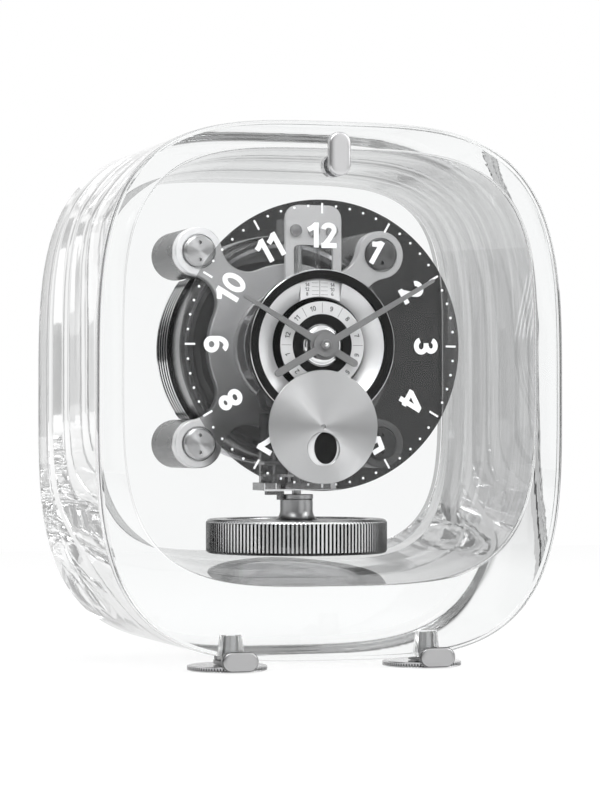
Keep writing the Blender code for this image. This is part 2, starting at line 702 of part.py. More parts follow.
def foot_stud(side, name):
    """The tapered steel stud in the block's underside, with the stem that its clip and disc sit on."""
    neck = CLIP_ARM_TOP + TOUCH - STUD_BASE
    foot = DISC_THICKNESS / 2 - STUD_BASE
    profile = (
        (STUD_STEM_RADIUS, foot), (STUD_STEM_RADIUS, neck), (STUD_BASE_RADIUS, neck),
        (STUD_BASE_RADIUS, 0), (STUD_TOP_RADIUS, STUD_HEIGHT),
    )
    return turned(name, profile, "Z", STEEL, (side * FOOT_SPREAD / 2, FOOT_Y, STUD_BASE), count=SMALL)


def foot_clip(side, name):
    """The arm under the block that ends in an oval cheek in front of the door."""
    place = (side * FOOT_SPREAD / 2, FOOT_Y, CLIP_ARM_TOP)
    half = CLIP_ARM_WIDTH / 2
    reach = OVAL_BACK - OVAL_THICKNESS / 2 - FOOT_Y
    arm = [(-half, reach), (half, reach), (half, 0)]
    for i in range(9):
        turn = math.pi * i / 8
        arm.append((half * math.cos(turn), CLIP_ARM_TAIL * math.sin(turn)))
    arm.append((-half, 0))
    made = extruded(name, arm, -CLIP_ARM_THICKNESS, 0, STEEL, place, axis="Z")
    oval_middle = CLIP_OVAL_LIFT + CLIP_OVAL_HEIGHT / 2 - CLIP_ARM_TOP
    outline = [(x, z + oval_middle) for x, z in slot_outline(CLIP_OVAL_WIDTH, CLIP_OVAL_HEIGHT, 12)]
    oval = extruded(f"join_{name}", outline, OVAL_FRONT - FOOT_Y, OVAL_BACK - FOOT_Y, STEEL, place)
    combine(made, oval, "UNION")
    return drill(made, STUD_STEM_RADIUS + TOUCH, "Z", place, -CLIP_ARM_THICKNESS - OVERRUN, OVERRUN)


def level_disc(side, name):
    """The knurled disc under a foot, turned by hand to level the clock."""
    place = (side * FOOT_SPREAD / 2, FOOT_Y, 0)
    count = DISC_TEETH * 2
    edge = DISC_TOOTH_DEPTH
    rings = [
        circle(DISC_RADIUS - 2 * edge, 0, "Z", count),
        toothed(DISC_RADIUS, edge, DISC_TEETH, edge, "Z", count),
        toothed(DISC_RADIUS, edge, DISC_TEETH, DISC_THICKNESS - edge, "Z", count),
        circle(DISC_RADIUS - 2 * edge, DISC_THICKNESS, "Z", count),
    ]
    made = lofted(name, rings, STEEL, place=place)
    bore = STUD_STEM_RADIUS + TOUCH
    return drill(made, bore, "Z", place, DISC_THICKNESS / 2 - TOUCH, DISC_THICKNESS + OVERRUN)


def rear_foot():
    """The fixed foot under the back of the block."""
    top = CASE_LIFT - TOUCH
    profile = (
        (REAR_FOOT_RADIUS - TOUCH, 0), (REAR_FOOT_RADIUS, TOUCH), (REAR_FOOT_RADIUS, top),
        (REAR_FOOT_STEM_RADIUS, top), (REAR_FOOT_STEM_RADIUS, CASE_LIFT + REAR_FOOT_STEM_LENGTH),
    )
    return turned("rear_foot", profile, "Z", STEEL, (0, REAR_FOOT_Y, 0), count=SMALL)


# Carrier of the movement


def pillar_places():
    """Name and place of each of the four pillars, as seen from the front."""
    half = PILLAR_SPACING / 2
    return (
        ("top_left", -half, half), ("top_right", half, half),
        ("bottom_left", -half, -half), ("bottom_right", half, -half),
    )


def pillar(corner, x, z):
    """A pillar from the bridge to the rear glass, with a blind hole for its screw."""
    front = BRIDGE_BACK + TOUCH
    length = PILLAR_BACK - front
    hole = SCREW_SHANK_RADIUS + TOUCH
    profile = (
        (hole / 2, SCREW_GRIP + hole), (hole, SCREW_GRIP), (hole, 0), (PILLAR_RADIUS, 0),
        (PILLAR_RADIUS, length - PILLAR_EDGE), (PILLAR_RADIUS - PILLAR_EDGE, length),
    )
    return turned(f"pillar_{corner}", profile, "Y", BRUSHED, at(x, front, z), count=SMALL)


def pillar_screw(corner, x, z):
    """The round-headed screw that holds the bridge to a pillar, turned by two small holes."""
    seat = BRIDGE_BEHIND_DIAL + SCREW_SEAT_DEPTH - TOUCH
    head = seat - SCREW_HEAD_HEIGHT
    place = at(x, head, z)
    edge = PILLAR_EDGE
    tip = BRIDGE_BACK + SCREW_GRIP - head
    profile = (
        (SCREW_HEAD_RADIUS - edge, 0), (SCREW_HEAD_RADIUS, edge), (SCREW_HEAD_RADIUS, SCREW_HEAD_HEIGHT),
        (SCREW_SHANK_RADIUS, SCREW_HEAD_HEIGHT), (SCREW_SHANK_RADIUS, tip),
    )
    made = turned(f"pillar_screw_{corner}", profile, "Y", STEEL, place, count=SMALL)
    for side in (-1, 1):
        hole = (place[0], place[1], place[2] + side * SCREW_SLOT_SPACING / 2)
        drill(made, SCREW_SLOT_RADIUS, "Y", hole, -OVERRUN, SCREW_HEAD_HEIGHT / 2, count=PIN)
    return made


def bridge_outline():
    """A disc with four round lobes, blended by hollow curves, as (across, up)."""
    corner = PILLAR_SPACING / math.sqrt(2)
    near = BRIDGE_RADIUS + BRIDGE_FILLET
    far = LOBE_RADIUS + BRIDGE_FILLET
    swing = math.acos((near**2 + corner**2 - far**2) / (2 * near * corner))
    open_angle = math.acos((far**2 + corner**2 - near**2) / (2 * far * corner))
    points = []

    def arc(x, z, radius, start, end, steps):
        for i in range(steps + 1):
            turn = start + (end - start) * i / steps
            points.append((x + radius * math.cos(turn), z + radius * math.sin(turn)))

    for quarter in range(4):
        aim = math.pi / 4 + quarter * math.pi / 2
        lobe_x = corner * math.cos(aim)
        lobe_z = corner * math.sin(aim)
        lobe_turn = math.pi - open_angle
        arc(0, 0, BRIDGE_RADIUS, aim - math.pi / 2 + swing, aim - swing, 4)
        fillet = (near * math.cos(aim - swing), near * math.sin(aim - swing))
        arc(*fillet, BRIDGE_FILLET, aim - swing + math.pi, aim - lobe_turn + math.pi, 4)
        arc(lobe_x, lobe_z, LOBE_RADIUS, aim - lobe_turn, aim + lobe_turn, 9)
        fillet = (near * math.cos(aim + swing), near * math.sin(aim + swing))
        arc(*fillet, BRIDGE_FILLET, aim + lobe_turn + math.pi, aim + swing + math.pi, 4)
    return points


def front_bridge():
    """The four-lobed plate that the movement hangs on."""
    middle = at(0, BRIDGE_BEHIND_DIAL, 0)
    made = extruded("front_bridge", bridge_outline(), 0, BRIDGE_THICKNESS, BRUSHED, middle)
    for corner, x, z in pillar_places():
        place = at(x, BRIDGE_BEHIND_DIAL, z)
        drill(made, SCREW_SHANK_RADIUS + TOUCH, "Y", place, 0, BRIDGE_THICKNESS + OVERRUN, count=PIN)
        drill(made, SCREW_HEAD_RADIUS + TOUCH, "Y", place, -OVERRUN, SCREW_SEAT_DEPTH)
    return drill(made, BRIDGE_BORE, "Y", middle, -OVERRUN, BRIDGE_THICKNESS + OVERRUN)


def capsule_drum():
    """The ribbed housing of the gas capsule, open in front and notched round the pillars."""
    length = PILLAR_BACK - DRUM_FRONT_BEHIND_DIAL
    smooth_end = length - DRUM_RIB_ZONE
    pitch = DRUM_RIB_ZONE / DRUM_RIBS
    inner = DRUM_RADIUS - DRUM_WALL
    rim = DRUM_RADIUS - DRUM_RIM_WIDTH
    edge = DRUM_RIM_BEVEL / 2
    profile = [
        (rim, edge), (DRUM_RADIUS - 2 * edge, edge), (DRUM_RADIUS - 2 * edge, 0),
        (DRUM_RADIUS - edge, 0), (DRUM_RADIUS, edge), (DRUM_RADIUS, smooth_end - pitch / 2),
    ]
    for rib in range(DRUM_RIBS):
        start = smooth_end + rib * pitch
        profile.append((DRUM_GROOVE_RADIUS, start))
        profile.append((DRUM_RIB_RADIUS, start + pitch / 2))
    profile += [
        (DRUM_GROOVE_RADIUS, length), (OVERRUN, length), (OVERRUN, length - DRUM_WALL),
        (inner, length - DRUM_WALL), (inner, DRUM_RIM_DEPTH), (rim, DRUM_RIM_DEPTH),
    ]
    place = at(0, DRUM_FRONT_BEHIND_DIAL, 0)
    made = turned("capsule_drum", profile, "Y", DARK_STEEL, place, closed=True, count=FINE)
    for corner, x, z in pillar_places():
        drill(made, PILLAR_RADIUS + RUN, "Y", at(x, DRUM_FRONT_BEHIND_DIAL, z), -OVERRUN, length + OVERRUN)
    return made


def gas_capsule():
    """The folded metal bellows that swells as the room warms, standing on the drum's floor."""
    floor = PILLAR_BACK - DRUM_WALL - TOUCH
    front = capsule_front()
    length = floor - front
    pitch = length / CAPSULE_FOLDS
    profile = []
    for fold in range(CAPSULE_FOLDS):
        start = fold * pitch
        profile.append((CAPSULE_RADIUS - CAPSULE_GROOVE, start))
        profile.append((CAPSULE_RADIUS, start + pitch / 2))
    profile.append((CAPSULE_RADIUS - CAPSULE_GROOVE, length))
    return turned("gas_capsule", profile, "Y", DARK_STEEL, at(0, front, 0))


def capsule_front():
    """Depth of the bellows' front end, behind its lid, which has room to move forward."""
    room = CAPSULE_TRAVEL + CAPSULE_LID_BOSS_HEIGHT + CAPSULE_LID_THICKNESS + RUN
    return DRUM_FRONT_BEHIND_DIAL + DRUM_RIM_DEPTH + room


def capsule_lid():
    """The moving front of the bellows."""
    front = capsule_front() - TOUCH - CAPSULE_LID_THICKNESS
    profile = (
        (CAPSULE_LID_BOSS_RADIUS, -CAPSULE_LID_BOSS_HEIGHT), (CAPSULE_LID_BOSS_RADIUS, 0),
        (CAPSULE_RADIUS - CAPSULE_GROOVE, 0), (CAPSULE_RADIUS, CAPSULE_LID_THICKNESS / 2),
        (CAPSULE_RADIUS - CAPSULE_GROOVE, CAPSULE_LID_THICKNESS),
    )
    return turned("capsule_lid", profile, "Y", STEEL, at(0, front, 0))


# Plates


def post_places():
    """Across and up of each post between the plates."""
    places = []
    for angle in POST_ANGLES:
        turn = math.radians(angle)
        places.append((POST_CIRCLE * math.cos(turn), POST_CIRCLE * math.sin(turn)))
    return places


def main_plate():
    """The round plate on the front of the bridge, with the four posts riveted into it."""
    edge = PILLAR_EDGE
    profile = (
        (MAIN_PLATE_RADIUS - edge, 0), (MAIN_PLATE_RADIUS, edge), (MAIN_PLATE_RADIUS, MAIN_PLATE_THICKNESS),
    )
    made = turned("main_plate", profile, "Y", BRUSHED, at(0, MAIN_PLATE_FRONT, 0), count=FINE)
    start = FRONT_PLATE_BACK + TOUCH - MAIN_PLATE_FRONT
    ends = ((POST_RADIUS, start), (POST_RADIUS, MAIN_PLATE_THICKNESS / 2))
    for x, z in post_places():
        combine(made, turned("join_post", ends, "Y", STEEL, at(x, MAIN_PLATE_FRONT, z), count=PIN), "UNION")
    return made


def front_plate():
    """The plate under the dial work, bored for the hour pipe."""
    profile = (
        (FRONT_PLATE_BORE, 0), (FRONT_PLATE_RADIUS, 0),
        (FRONT_PLATE_RADIUS, FRONT_PLATE_THICKNESS), (FRONT_PLATE_BORE, FRONT_PLATE_THICKNESS),
    )
    place = at(0, FRONT_PLATE_BEHIND_DIAL, 0)
    return turned("front_plate", profile, "Y", BRUSHED, place, closed=True, count=FINE)


def train_bridge():
    """The plate on the posts that the train's rear pivots run in."""
    place = at(0, TRAIN_BRIDGE_BEHIND_DIAL, 0)
    profile = ((TRAIN_BRIDGE_RADIUS, 0), (TRAIN_BRIDGE_RADIUS, TRAIN_BRIDGE_THICKNESS))
    made = turned("train_bridge", profile, "Y", BRASS, place, count=FINE)
    holes = [(POST_RADIUS + TOUCH, x, z) for x, z in post_places()]
    holes.append((ARBOR_RADIUS + RUN, CONTRATE_X, CONTRATE_Z))
    end = TRAIN_BRIDGE_THICKNESS + OVERRUN
    for radius, x, z in holes:
        drill(made, radius, "Y", at(x, TRAIN_BRIDGE_BEHIND_DIAL, z), -OVERRUN, end, PIN)
    return made


# Wheels


def wheel_arbor(name, sections, axis, finish_material, place):
    """An arbor with its wheels in one piece, from (distance, radius, teeth) sections along it."""
    rings = []
    for along, radius, teeth in sections:
        if teeth:
            rings.append(toothed(radius, TOOTH_DEPTH, teeth, along, axis, MEDIUM))
        else:
            rings.append(circle(radius, along, axis, MEDIUM))
    return lofted(name, rings, finish_material, False, place)


def centre_wheel():
    """The arbor of the minute hand, with the wheel that the barrel drives."""
    hub = ARBOR_RADIUS * 2
    front = -MINUTE_HAND_RISE - NUT_HEIGHT - TOUCH
    wheel = CENTRE_WHEEL_BEHIND_DIAL
    back = wheel + WHEEL_THICKNESS
    end = TRAIN_BRIDGE_BEHIND_DIAL - TOUCH
    sections = (
        (front, ARBOR_RADIUS, 0), (wheel, ARBOR_RADIUS, 0), (wheel, CENTRE_WHEEL_RADIUS, TEETH),
        (back, CENTRE_WHEEL_RADIUS, TEETH), (back, hub, 0), (end, hub, 0),
    )
    return wheel_arbor("centre_wheel", sections, "Y", BRASS, at(0, 0, 0))


def contrate_wheel():
    """The wheel that turns the drive down to the escapement."""
    pinion_radius = math.hypot(CONTRATE_X, CONTRATE_Z) - CENTRE_WHEEL_RADIUS - TOUCH
    pinion = CENTRE_WHEEL_BEHIND_DIAL
    wheel = CONTRATE_BEHIND_DIAL - pinion
    back = wheel + WHEEL_THICKNESS
    start = FRONT_PLATE_BACK + TOUCH - pinion
    end = MAIN_PLATE_FRONT - TOUCH - pinion
    sections = (
        (start, ARBOR_RADIUS, 0), (0, ARBOR_RADIUS, 0), (0, pinion_radius, TEETH),
        (WHEEL_THICKNESS, pinion_radius, TEETH), (WHEEL_THICKNESS, ARBOR_RADIUS, 0),
        (wheel, ARBOR_RADIUS, 0), (wheel, CONTRATE_RADIUS, TEETH), (back, CONTRATE_RADIUS, TEETH),
        (back, ARBOR_RADIUS, 0), (end, ARBOR_RADIUS, 0),
    )
    return wheel_arbor("contrate_wheel", sections, "Y", BRASS, at(CONTRATE_X, pinion, CONTRATE_Z))


def spring_barrel():
    """The mainspring barrel, kept wound by the capsule."""
    start = FRONT_PLATE_BACK + TOUCH - BARREL_BEHIND_DIAL
    teeth = BARREL_HEIGHT - WHEEL_THICKNESS
    end = TRAIN_BRIDGE_BEHIND_DIAL - TOUCH - BARREL_BEHIND_DIAL
    sections = (
        (start, ARBOR_RADIUS, 0), (0, ARBOR_RADIUS, 0), (0, BARREL_RADIUS - TOOTH_DEPTH, 0),
        (teeth, BARREL_RADIUS - TOOTH_DEPTH, 0), (teeth, BARREL_RADIUS, TEETH),
        (BARREL_HEIGHT, BARREL_RADIUS, TEETH), (BARREL_HEIGHT, ARBOR_RADIUS, 0), (end, ARBOR_RADIUS, 0),
    )
    return wheel_arbor("spring_barrel", sections, "Y", BRASS, at(0, BARREL_BEHIND_DIAL, BARREL_Z))


def hour_pipe():
    """The pipe of the hour hand, over the centre arbor."""
    wheel = HOUR_WHEEL_BEHIND_DIAL
    front = -HOUR_HAND_RISE - TOUCH
    profile = (
        (PIPE_BORE, front), (PIPE_RADIUS, front), (PIPE_RADIUS, wheel), (HOUR_WHEEL_RADIUS, wheel),
        (HOUR_WHEEL_RADIUS, wheel + WHEEL_THICKNESS), (PIPE_BORE, wheel + WHEEL_THICKNESS),
    )
    return turned("hour_pipe", profile, "Y", STEEL, at(0, 0, 0), closed=True)


def minute_wheel():
    """The wheel of the motion work, between the centre arbor and the hour pipe."""
    radius = MINUTE_WHEEL_RADIUS
    wheel = HOUR_WHEEL_BEHIND_DIAL
    end = BARREL_BEHIND_DIAL + WHEEL_THICKNESS - wheel
    sections = (
        (FRONT_PLATE_BACK + TOUCH - wheel, ARBOR_RADIUS, 0), (0, ARBOR_RADIUS, 0), (0, radius, TEETH),
        (WHEEL_THICKNESS, radius, TEETH), (WHEEL_THICKNESS, ARBOR_RADIUS, 0), (end, ARBOR_RADIUS, 0),
    )
    return wheel_arbor("minute_wheel", sections, "Y", BRASS, at(MINUTE_WHEEL_X, wheel, MINUTE_WHEEL_Z))


# Escapement


def lower_bridge():
    """The bracket under the movement: a wall on the bridge's face and a shelf for the escapement."""
    back = BRIDGE_BEHIND_DIAL - TOUCH
    half = LOWER_PLATE_WIDTH / 2
    shelf = box(
        "lower_bridge", at(-half, LOWER_PLATE_FRONT_BEHIND_DIAL, LOWER_PLATE_BOTTOM),
        at(half, back, LOWER_PLATE_TOP), DARK_STEEL,
    )
    half = LOWER_WALL_WIDTH / 2
    wall = box(
        "join_lower_wall", at(-half, back - LOWER_WALL_THICKNESS, LOWER_PLATE_BOTTOM + TOUCH),
        at(half, back, LOWER_WALL_TOP), DARK_STEEL,
    )
    combine(shelf, wall, "UNION")
    staff = at(0, STAFF_BEHIND_DIAL, LOWER_PLATE_TOP)
    return drill(shelf, STAFF_HOLE_RADIUS, "Z", staff, -LOWER_PLATE_THICKNESS - OVERRUN, OVERRUN)


def escapement_cock():
    """The thin plate over the escape wheel and the lever."""
    back = BRIDGE_BEHIND_DIAL - TOUCH - LOWER_WALL_THICKNESS - TOUCH
    made = box(
        "escapement_cock", at(COCK_LEFT, COCK_FRONT_BEHIND_DIAL, COCK_TOP - COCK_THICKNESS),
        at(COCK_RIGHT, back, COCK_TOP), BRUSHED,
    )
    start = -COCK_THICKNESS - OVERRUN
    drill(made, STAFF_RADIUS + RUN, "Z", at(0, STAFF_BEHIND_DIAL, COCK_TOP), start, OVERRUN, PIN)
    escape = at(ESCAPE_X, ESCAPE_BEHIND_DIAL, COCK_TOP)
    return drill(made, ARBOR_RADIUS + RUN, "Z", escape, start, OVERRUN, PIN)


def escape_wheel():
    """The escape wheel on its upright arbor, with the pinion at the contrate wheel's rim."""
    count = ESCAPE_TEETH * 2
    low = LOWER_PLATE_TOP + TOUCH - ESCAPE_HEIGHT
    wheel_top = WHEEL_THICKNESS
    pinion = CONTRATE_Z - CONTRATE_RADIUS - ESCAPE_HEIGHT
    arbor = ARBOR_RADIUS / 2
    rings = [circle(arbor, low, "Z", count), circle(arbor, 0, "Z", count)]
    for along in (0, wheel_top):
        rings.append(toothed(ESCAPE_RADIUS, ESCAPE_TOOTH_DEPTH, ESCAPE_TEETH, along, "Z", count))
    rings.append(circle(arbor, wheel_top, "Z", count))
    rings.append(circle(arbor, pinion - ESCAPE_PINION_RADIUS, "Z", count))
    rings.append(circle(ESCAPE_PINION_RADIUS, pinion - ESCAPE_PINION_RADIUS, "Z", count))
    rings.append(circle(ESCAPE_PINION_RADIUS, pinion + ESCAPE_PINION_RADIUS, "Z", count))
    return lofted("escape_wheel", rings, BRASS, place=at(ESCAPE_X, ESCAPE_BEHIND_DIAL, ESCAPE_HEIGHT))


def pallet_lever():
    """The lever: two pallets at the escape wheel and a fork that gives the balance its push."""
    to_wheel = (ESCAPE_X - LEVER_X, ESCAPE_BEHIND_DIAL - LEVER_BEHIND_DIAL)
    distance = math.hypot(*to_wheel)
    aim = (to_wheel[0] / distance, to_wheel[1] / distance)
    side = (-aim[1], aim[0])
    to_roller = (-LEVER_X, STAFF_BEHIND_DIAL - LEVER_BEHIND_DIAL)
    fork_length = math.hypot(*to_roller) - ROLLER_RADIUS - RUN
    fork_aim = math.atan2(to_roller[1], to_roller[0])
    half = LEVER_WIDTH / 2
    tip = distance - ESCAPE_RADIUS - TOUCH
    span = LEVER_PALLET_SPAN / 2

    def place(forward, across):
        return (aim[0] * forward + side[0] * across, aim[1] * forward + side[1] * across)

    anchor = [
        place(-half, -span), place(tip, -span), place(tip, half - span), place(half, half - span),
        place(half, span - half), place(tip, span - half), place(tip, span), place(-half, span),
    ]
    where = at(LEVER_X, LEVER_BEHIND_DIAL, ESCAPE_HEIGHT)
    made = extruded("pallet_lever", anchor, 0, WHEEL_THICKNESS, STEEL, where, axis="Z")
    turn = (math.cos(fork_aim), math.sin(fork_aim))
    fork = [
        (half * turn[1], -half * turn[0]),
        (fork_length * turn[0] + half * turn[1], fork_length * turn[1] - half * turn[0]),
        (fork_length * turn[0] - half * turn[1], fork_length * turn[1] + half * turn[0]),
        (-half * turn[1], half * turn[0]),
    ]
    arm = extruded("join_lever_fork", fork, TOUCH / 2, WHEEL_THICKNESS - TOUCH / 2, STEEL, where, axis="Z")
    combine(made, arm, "UNION")
    low = LOWER_PLATE_TOP + TOUCH - ESCAPE_HEIGHT
    high = COCK_TOP - COCK_THICKNESS - TOUCH - ESCAPE_HEIGHT
    thick = half - TOUCH / 5
    pin = turned("join_lever_pin", ((thick, low), (thick, high)), "Z", STEEL, where, count=PIN)
    return combine(made, pin, "UNION")


def balance_lock():
    """The catch under the shelf that is turned against the collar to hold the balance for moving."""
    top = LOWER_PLATE_BOTTOM - TOUCH
    place = at(LOCK_X, LOCK_BEHIND_DIAL, top)
    to_staff = (-LOCK_X, STAFF_BEHIND_DIAL - LOCK_BEHIND_DIAL)
    length = math.hypot(*to_staff) - COLLAR_RADIUS - LOCK_GAP
    aim = math.atan2(to_staff[1], to_staff[0])
    half = LOCK_WIDTH / 2
    along = (math.cos(aim), math.sin(aim))

    def bar(start, end):
        return [
            (start * along[0] + half * along[1], start * along[1] - half * along[0]),
            (end * along[0] + half * along[1], end * along[1] - half * along[0]),
            (end * along[0] - half * along[1], end * along[1] + half * along[0]),
            (start * along[0] - half * along[1], start * along[1] + half * along[0]),
        ]

    made = extruded("balance_lock", bar(-half, length), -LOCK_THICKNESS, 0, DARK_STEEL, place, axis="Z")
    pad = extruded(
        "join_lock_pad", bar(length - LOCK_WIDTH, length - TOUCH / 2), -LOCK_THICKNESS - LOCK_DROP,
        -LOCK_THICKNESS / 2, DARK_STEEL, place, axis="Z",
    )
    return combine(made, pad, "UNION")


# Balance and suspension


def balance_rim():
    """The heavy ring of the balance; its fine ribs run all round."""
    outer = BALANCE_RADIUS
    inner = BALANCE_RADIUS - BALANCE_RIM_WIDTH
    edge = BALANCE_EDGE
    low = BALANCE_TOP - BALANCE_HEIGHT
    profile = (
        (inner, BALANCE_TOP), (outer - edge, BALANCE_TOP), (outer, BALANCE_TOP - edge),
        (outer, low + edge), (outer - edge, low), (inner, low),
    )
    return turned("balance_rim", profile, "Z", BRUSHED, staff_place(), closed=True, count=FINEST)


def balance_hub():
    """The disc inside the rim, with its flared hub, collar, staff and impulse roller."""
    base = BALANCE_TOP - BALANCE_WEB_TOP_DROP
    disc = BALANCE_RADIUS - BALANCE_RIM_WIDTH - TOUCH
    shoulder = base + HUB_FLARE_HEIGHT
    top = BALANCE_TOP + HUB_HEIGHT
    collar = top + COLLAR_HEIGHT
    roller = ESCAPE_HEIGHT - TOUCH
    profile = [(disc, base - BALANCE_WEB_THICKNESS), (disc, base), (HUB_FLARE_RADIUS, base)]
    for i in range(1, 5):
        turn = math.pi / 2 * i / 5
        profile.append((
            HUB_FLARE_RADIUS - (HUB_FLARE_RADIUS - HUB_RADIUS) * math.sin(turn),
            base + HUB_FLARE_HEIGHT * (1 - math.cos(turn)),
        ))
    profile += [
        (HUB_RADIUS, shoulder), (HUB_RADIUS, top), (COLLAR_RADIUS, top), (COLLAR_RADIUS, collar),
        (STAFF_RADIUS, collar), (STAFF_RADIUS, roller), (ROLLER_RADIUS, roller),
        (ROLLER_RADIUS, roller + ROLLER_THICKNESS), (STAFF_RADIUS, roller + ROLLER_THICKNESS),
        (STAFF_RADIUS, COCK_TOP + TOUCH),
    ]
    return turned("balance_hub", profile, "Z", BRUSHED, staff_place())


def staff_place():
    """The balance's axis at the height of the dial's centre."""
    return at(0, STAFF_BEHIND_DIAL, 0)


def suspension_wire():
    """The thin wire that the balance hangs and twists on."""
    profile = ((WIRE_RADIUS, COCK_TOP + 2 * TOUCH), (WIRE_RADIUS, BLOCK_BOTTOM - TOUCH))
    return turned("suspension_wire", profile, "Z", STEEL, staff_place(), count=PIN)


def suspension_tube():
    """The tube that guards the wire down its length."""
    low = COCK_TOP + 4 * TOUCH
    high = BLOCK_BOTTOM - TOUCH
    profile = ((TUBE_BORE, low), (TUBE_RADIUS, low), (TUBE_RADIUS, high), (TUBE_BORE, high))
    return turned("suspension_tube", profile, "Z", BRUSHED, staff_place(), closed=True, count=SMALL)


def top_plate():
    """The upright plate at twelve that carries the suspension, with its window and the tube's shelf."""
    half = TOP_PLATE_WIDTH / 2
    outline = rounded_box_outline(-half, half, TOP_PLATE_BOTTOM, TOP_PLATE_TOP, TOP_PLATE_CORNER)
    place = at(0, TOP_PLATE_BEHIND_DIAL, 0)
    made = extruded("top_plate", outline, 0, TOP_PLATE_THICKNESS, BRUSHED, place)
    half = WINDOW_WIDTH / 2
    hole = rounded_box_outline(-half, half, WINDOW_BOTTOM, WINDOW_TOP, WINDOW_CORNER, 3)
    window = extruded("cut_window", hole, -OVERRUN, TOP_PLATE_THICKNESS + OVERRUN, BRUSHED, place)
    combine(made, window)
    half = LEVEL_TUBE_RADIUS
    top = LEVEL_TUBE_BOTTOM - TOUCH
    front = TOP_PLATE_BEHIND_DIAL + TOP_PLATE_THICKNESS / 2
    low = at(-half, front, top - LEVEL_FOOT_THICKNESS)
    shelf = box("join_shelf", low, at(half, LEVEL_TUBE_BEHIND_DIAL + half, top), BRUSHED)
    return combine(made, shelf, "UNION")


def suspension_block():
    """The block behind the top plate that clamps the wire's upper end over the balance."""
    front = TOP_PLATE_BEHIND_DIAL + TOP_PLATE_THICKNESS + TOUCH
    back = STAFF_BEHIND_DIAL + BLOCK_BACK_WALL
    half = BLOCK_WIDTH / 2
    return box("suspension_block", at(-half, front, BLOCK_BOTTOM), at(half, back, BLOCK_TOP), DARK_STEEL)


def top_screw(number, x):
    """One of the round screws across the top plate."""
    place = at(x, TOP_PLATE_BEHIND_DIAL - TOUCH - TOP_SCREW_RISE, TOP_SCREW_HEIGHT)
    edge = TOP_SCREW_RISE / 3
    profile = ((TOP_SCREW_RADIUS - edge, 0), (TOP_SCREW_RADIUS, edge), (TOP_SCREW_RADIUS, TOP_SCREW_RISE))
    return turned(f"top_screw_{number}", profile, "Y", STEEL, place, count=SMALL)


def level_tube():
    """The clear upright tube that shows in the window of the top plate, with its closed foot."""
    outer = LEVEL_TUBE_RADIUS
    inner = outer - LEVEL_TUBE_WALL
    low = LEVEL_TUBE_BOTTOM
    profile = (
        (outer, low), (outer, LEVEL_TUBE_TOP), (inner, LEVEL_TUBE_TOP), (inner, low + LEVEL_FOOT_THICKNESS),
    )
    return turned("level_tube", profile, "Z", GLASS, at(0, LEVEL_TUBE_BEHIND_DIAL, 0), count=SMALL)


# Dial work


def dished_ring():
    """The polished ring that slopes back from the black ring to the month display."""
    front = DISH_FRONT_BEHIND_DIAL
    seat = RING_FLANGE_THICKNESS + DIAL_THICKNESS + 2 * TOUCH
    rear = FRONT_PLATE_BEHIND_DIAL - TOUCH
    outer = RING_INNER_RADIUS - TOUCH
    inner_back = WELL_BEHIND_DIAL - TOUCH
    profile = (
        (outer, front), (outer, seat), (DISH_SEAT_RADIUS, seat), (DISH_SEAT_RADIUS, rear),
        (WELL_RADIUS + TOUCH, rear), (WELL_RADIUS + TOUCH, inner_back), (DISH_INNER_RADIUS, inner_back),
        (DISH_INNER_RADIUS, front + DISH_DEPTH), (outer - TOUCH, front),
    )
    made = turned("dished_ring", profile, "Y", POLISHED, at(0, 0, 0), closed=True, count=FINE)
    half = SCALE_WIDTH / 2 + TOUCH
    slot = box(
        "cut_scale_slot", at(-half, -OVERRUN, DISH_INNER_RADIUS - 2 * OVERRUN),
        at(half, SCALE_BEHIND_DIAL + SCALE_THICKNESS + TOUCH, scale_top() + TOUCH), STEEL,
    )
    return combine(made, slot)


def scale_top():
    """Height of the little scale's upper edge, inside the black ring at its corners."""
    return math.sqrt((RING_INNER_RADIUS - OVERRUN) ** 2 - (SCALE_WIDTH / 2) ** 2)


def day_scale():
    """The little upright scale at the top of the dished ring."""
    half = SCALE_WIDTH / 2
    low = DISH_INNER_RADIUS
    back = SCALE_BEHIND_DIAL + SCALE_THICKNESS
    return box("day_scale", at(-half, SCALE_BEHIND_DIAL, low), at(half, back, scale_top()), POLISHED)


def dial_ring():
    """The black ring that the dial's glass sits round."""
    flange = DIAL_THICKNESS + TOUCH
    profile = (
        (RING_INNER_RADIUS, -RING_RISE), (RING_OUTER_RADIUS, -RING_RISE), (RING_OUTER_RADIUS, flange),
        (RING_FLANGE_RADIUS, flange), (RING_FLANGE_RADIUS, flange + RING_FLANGE_THICKNESS),
        (RING_INNER_RADIUS, flange + RING_FLANGE_THICKNESS),
    )
    return turned("dial_ring", profile, "Y", BLACK, at(0, 0, 0), closed=True, count=FINE)


def dial_glass():
    """The smoked glass dial."""
    profile = (
        (DIAL_HOLE_RADIUS, 0), (DIAL_RADIUS, 0), (DIAL_RADIUS, DIAL_THICKNESS),
        (DIAL_HOLE_RADIUS, DIAL_THICKNESS),
    )
    made = turned("dial_glass", profile, "Y", SMOKED, at(0, 0, 0), closed=True, count=FINEST)
    x, y, z = at(0, 0, -MOON_DISC_DROP)
    return drill(made, MOON_STUB_RADIUS + TOUCH, "Y", (x, y, z), -OVERRUN, DIAL_THICKNESS + OVERRUN, PIN)


def month_well():
    """The black ring behind the month display."""
    rear = FRONT_PLATE_BEHIND_DIAL - TOUCH
    inner = MONTH_BORE + TOUCH
    profile = (
        (inner, WELL_BEHIND_DIAL), (WELL_RADIUS, WELL_BEHIND_DIAL), (WELL_RADIUS, rear), (inner, rear),
    )
    return turned("month_well", profile, "Y", BLACK, at(0, 0, 0), closed=True)


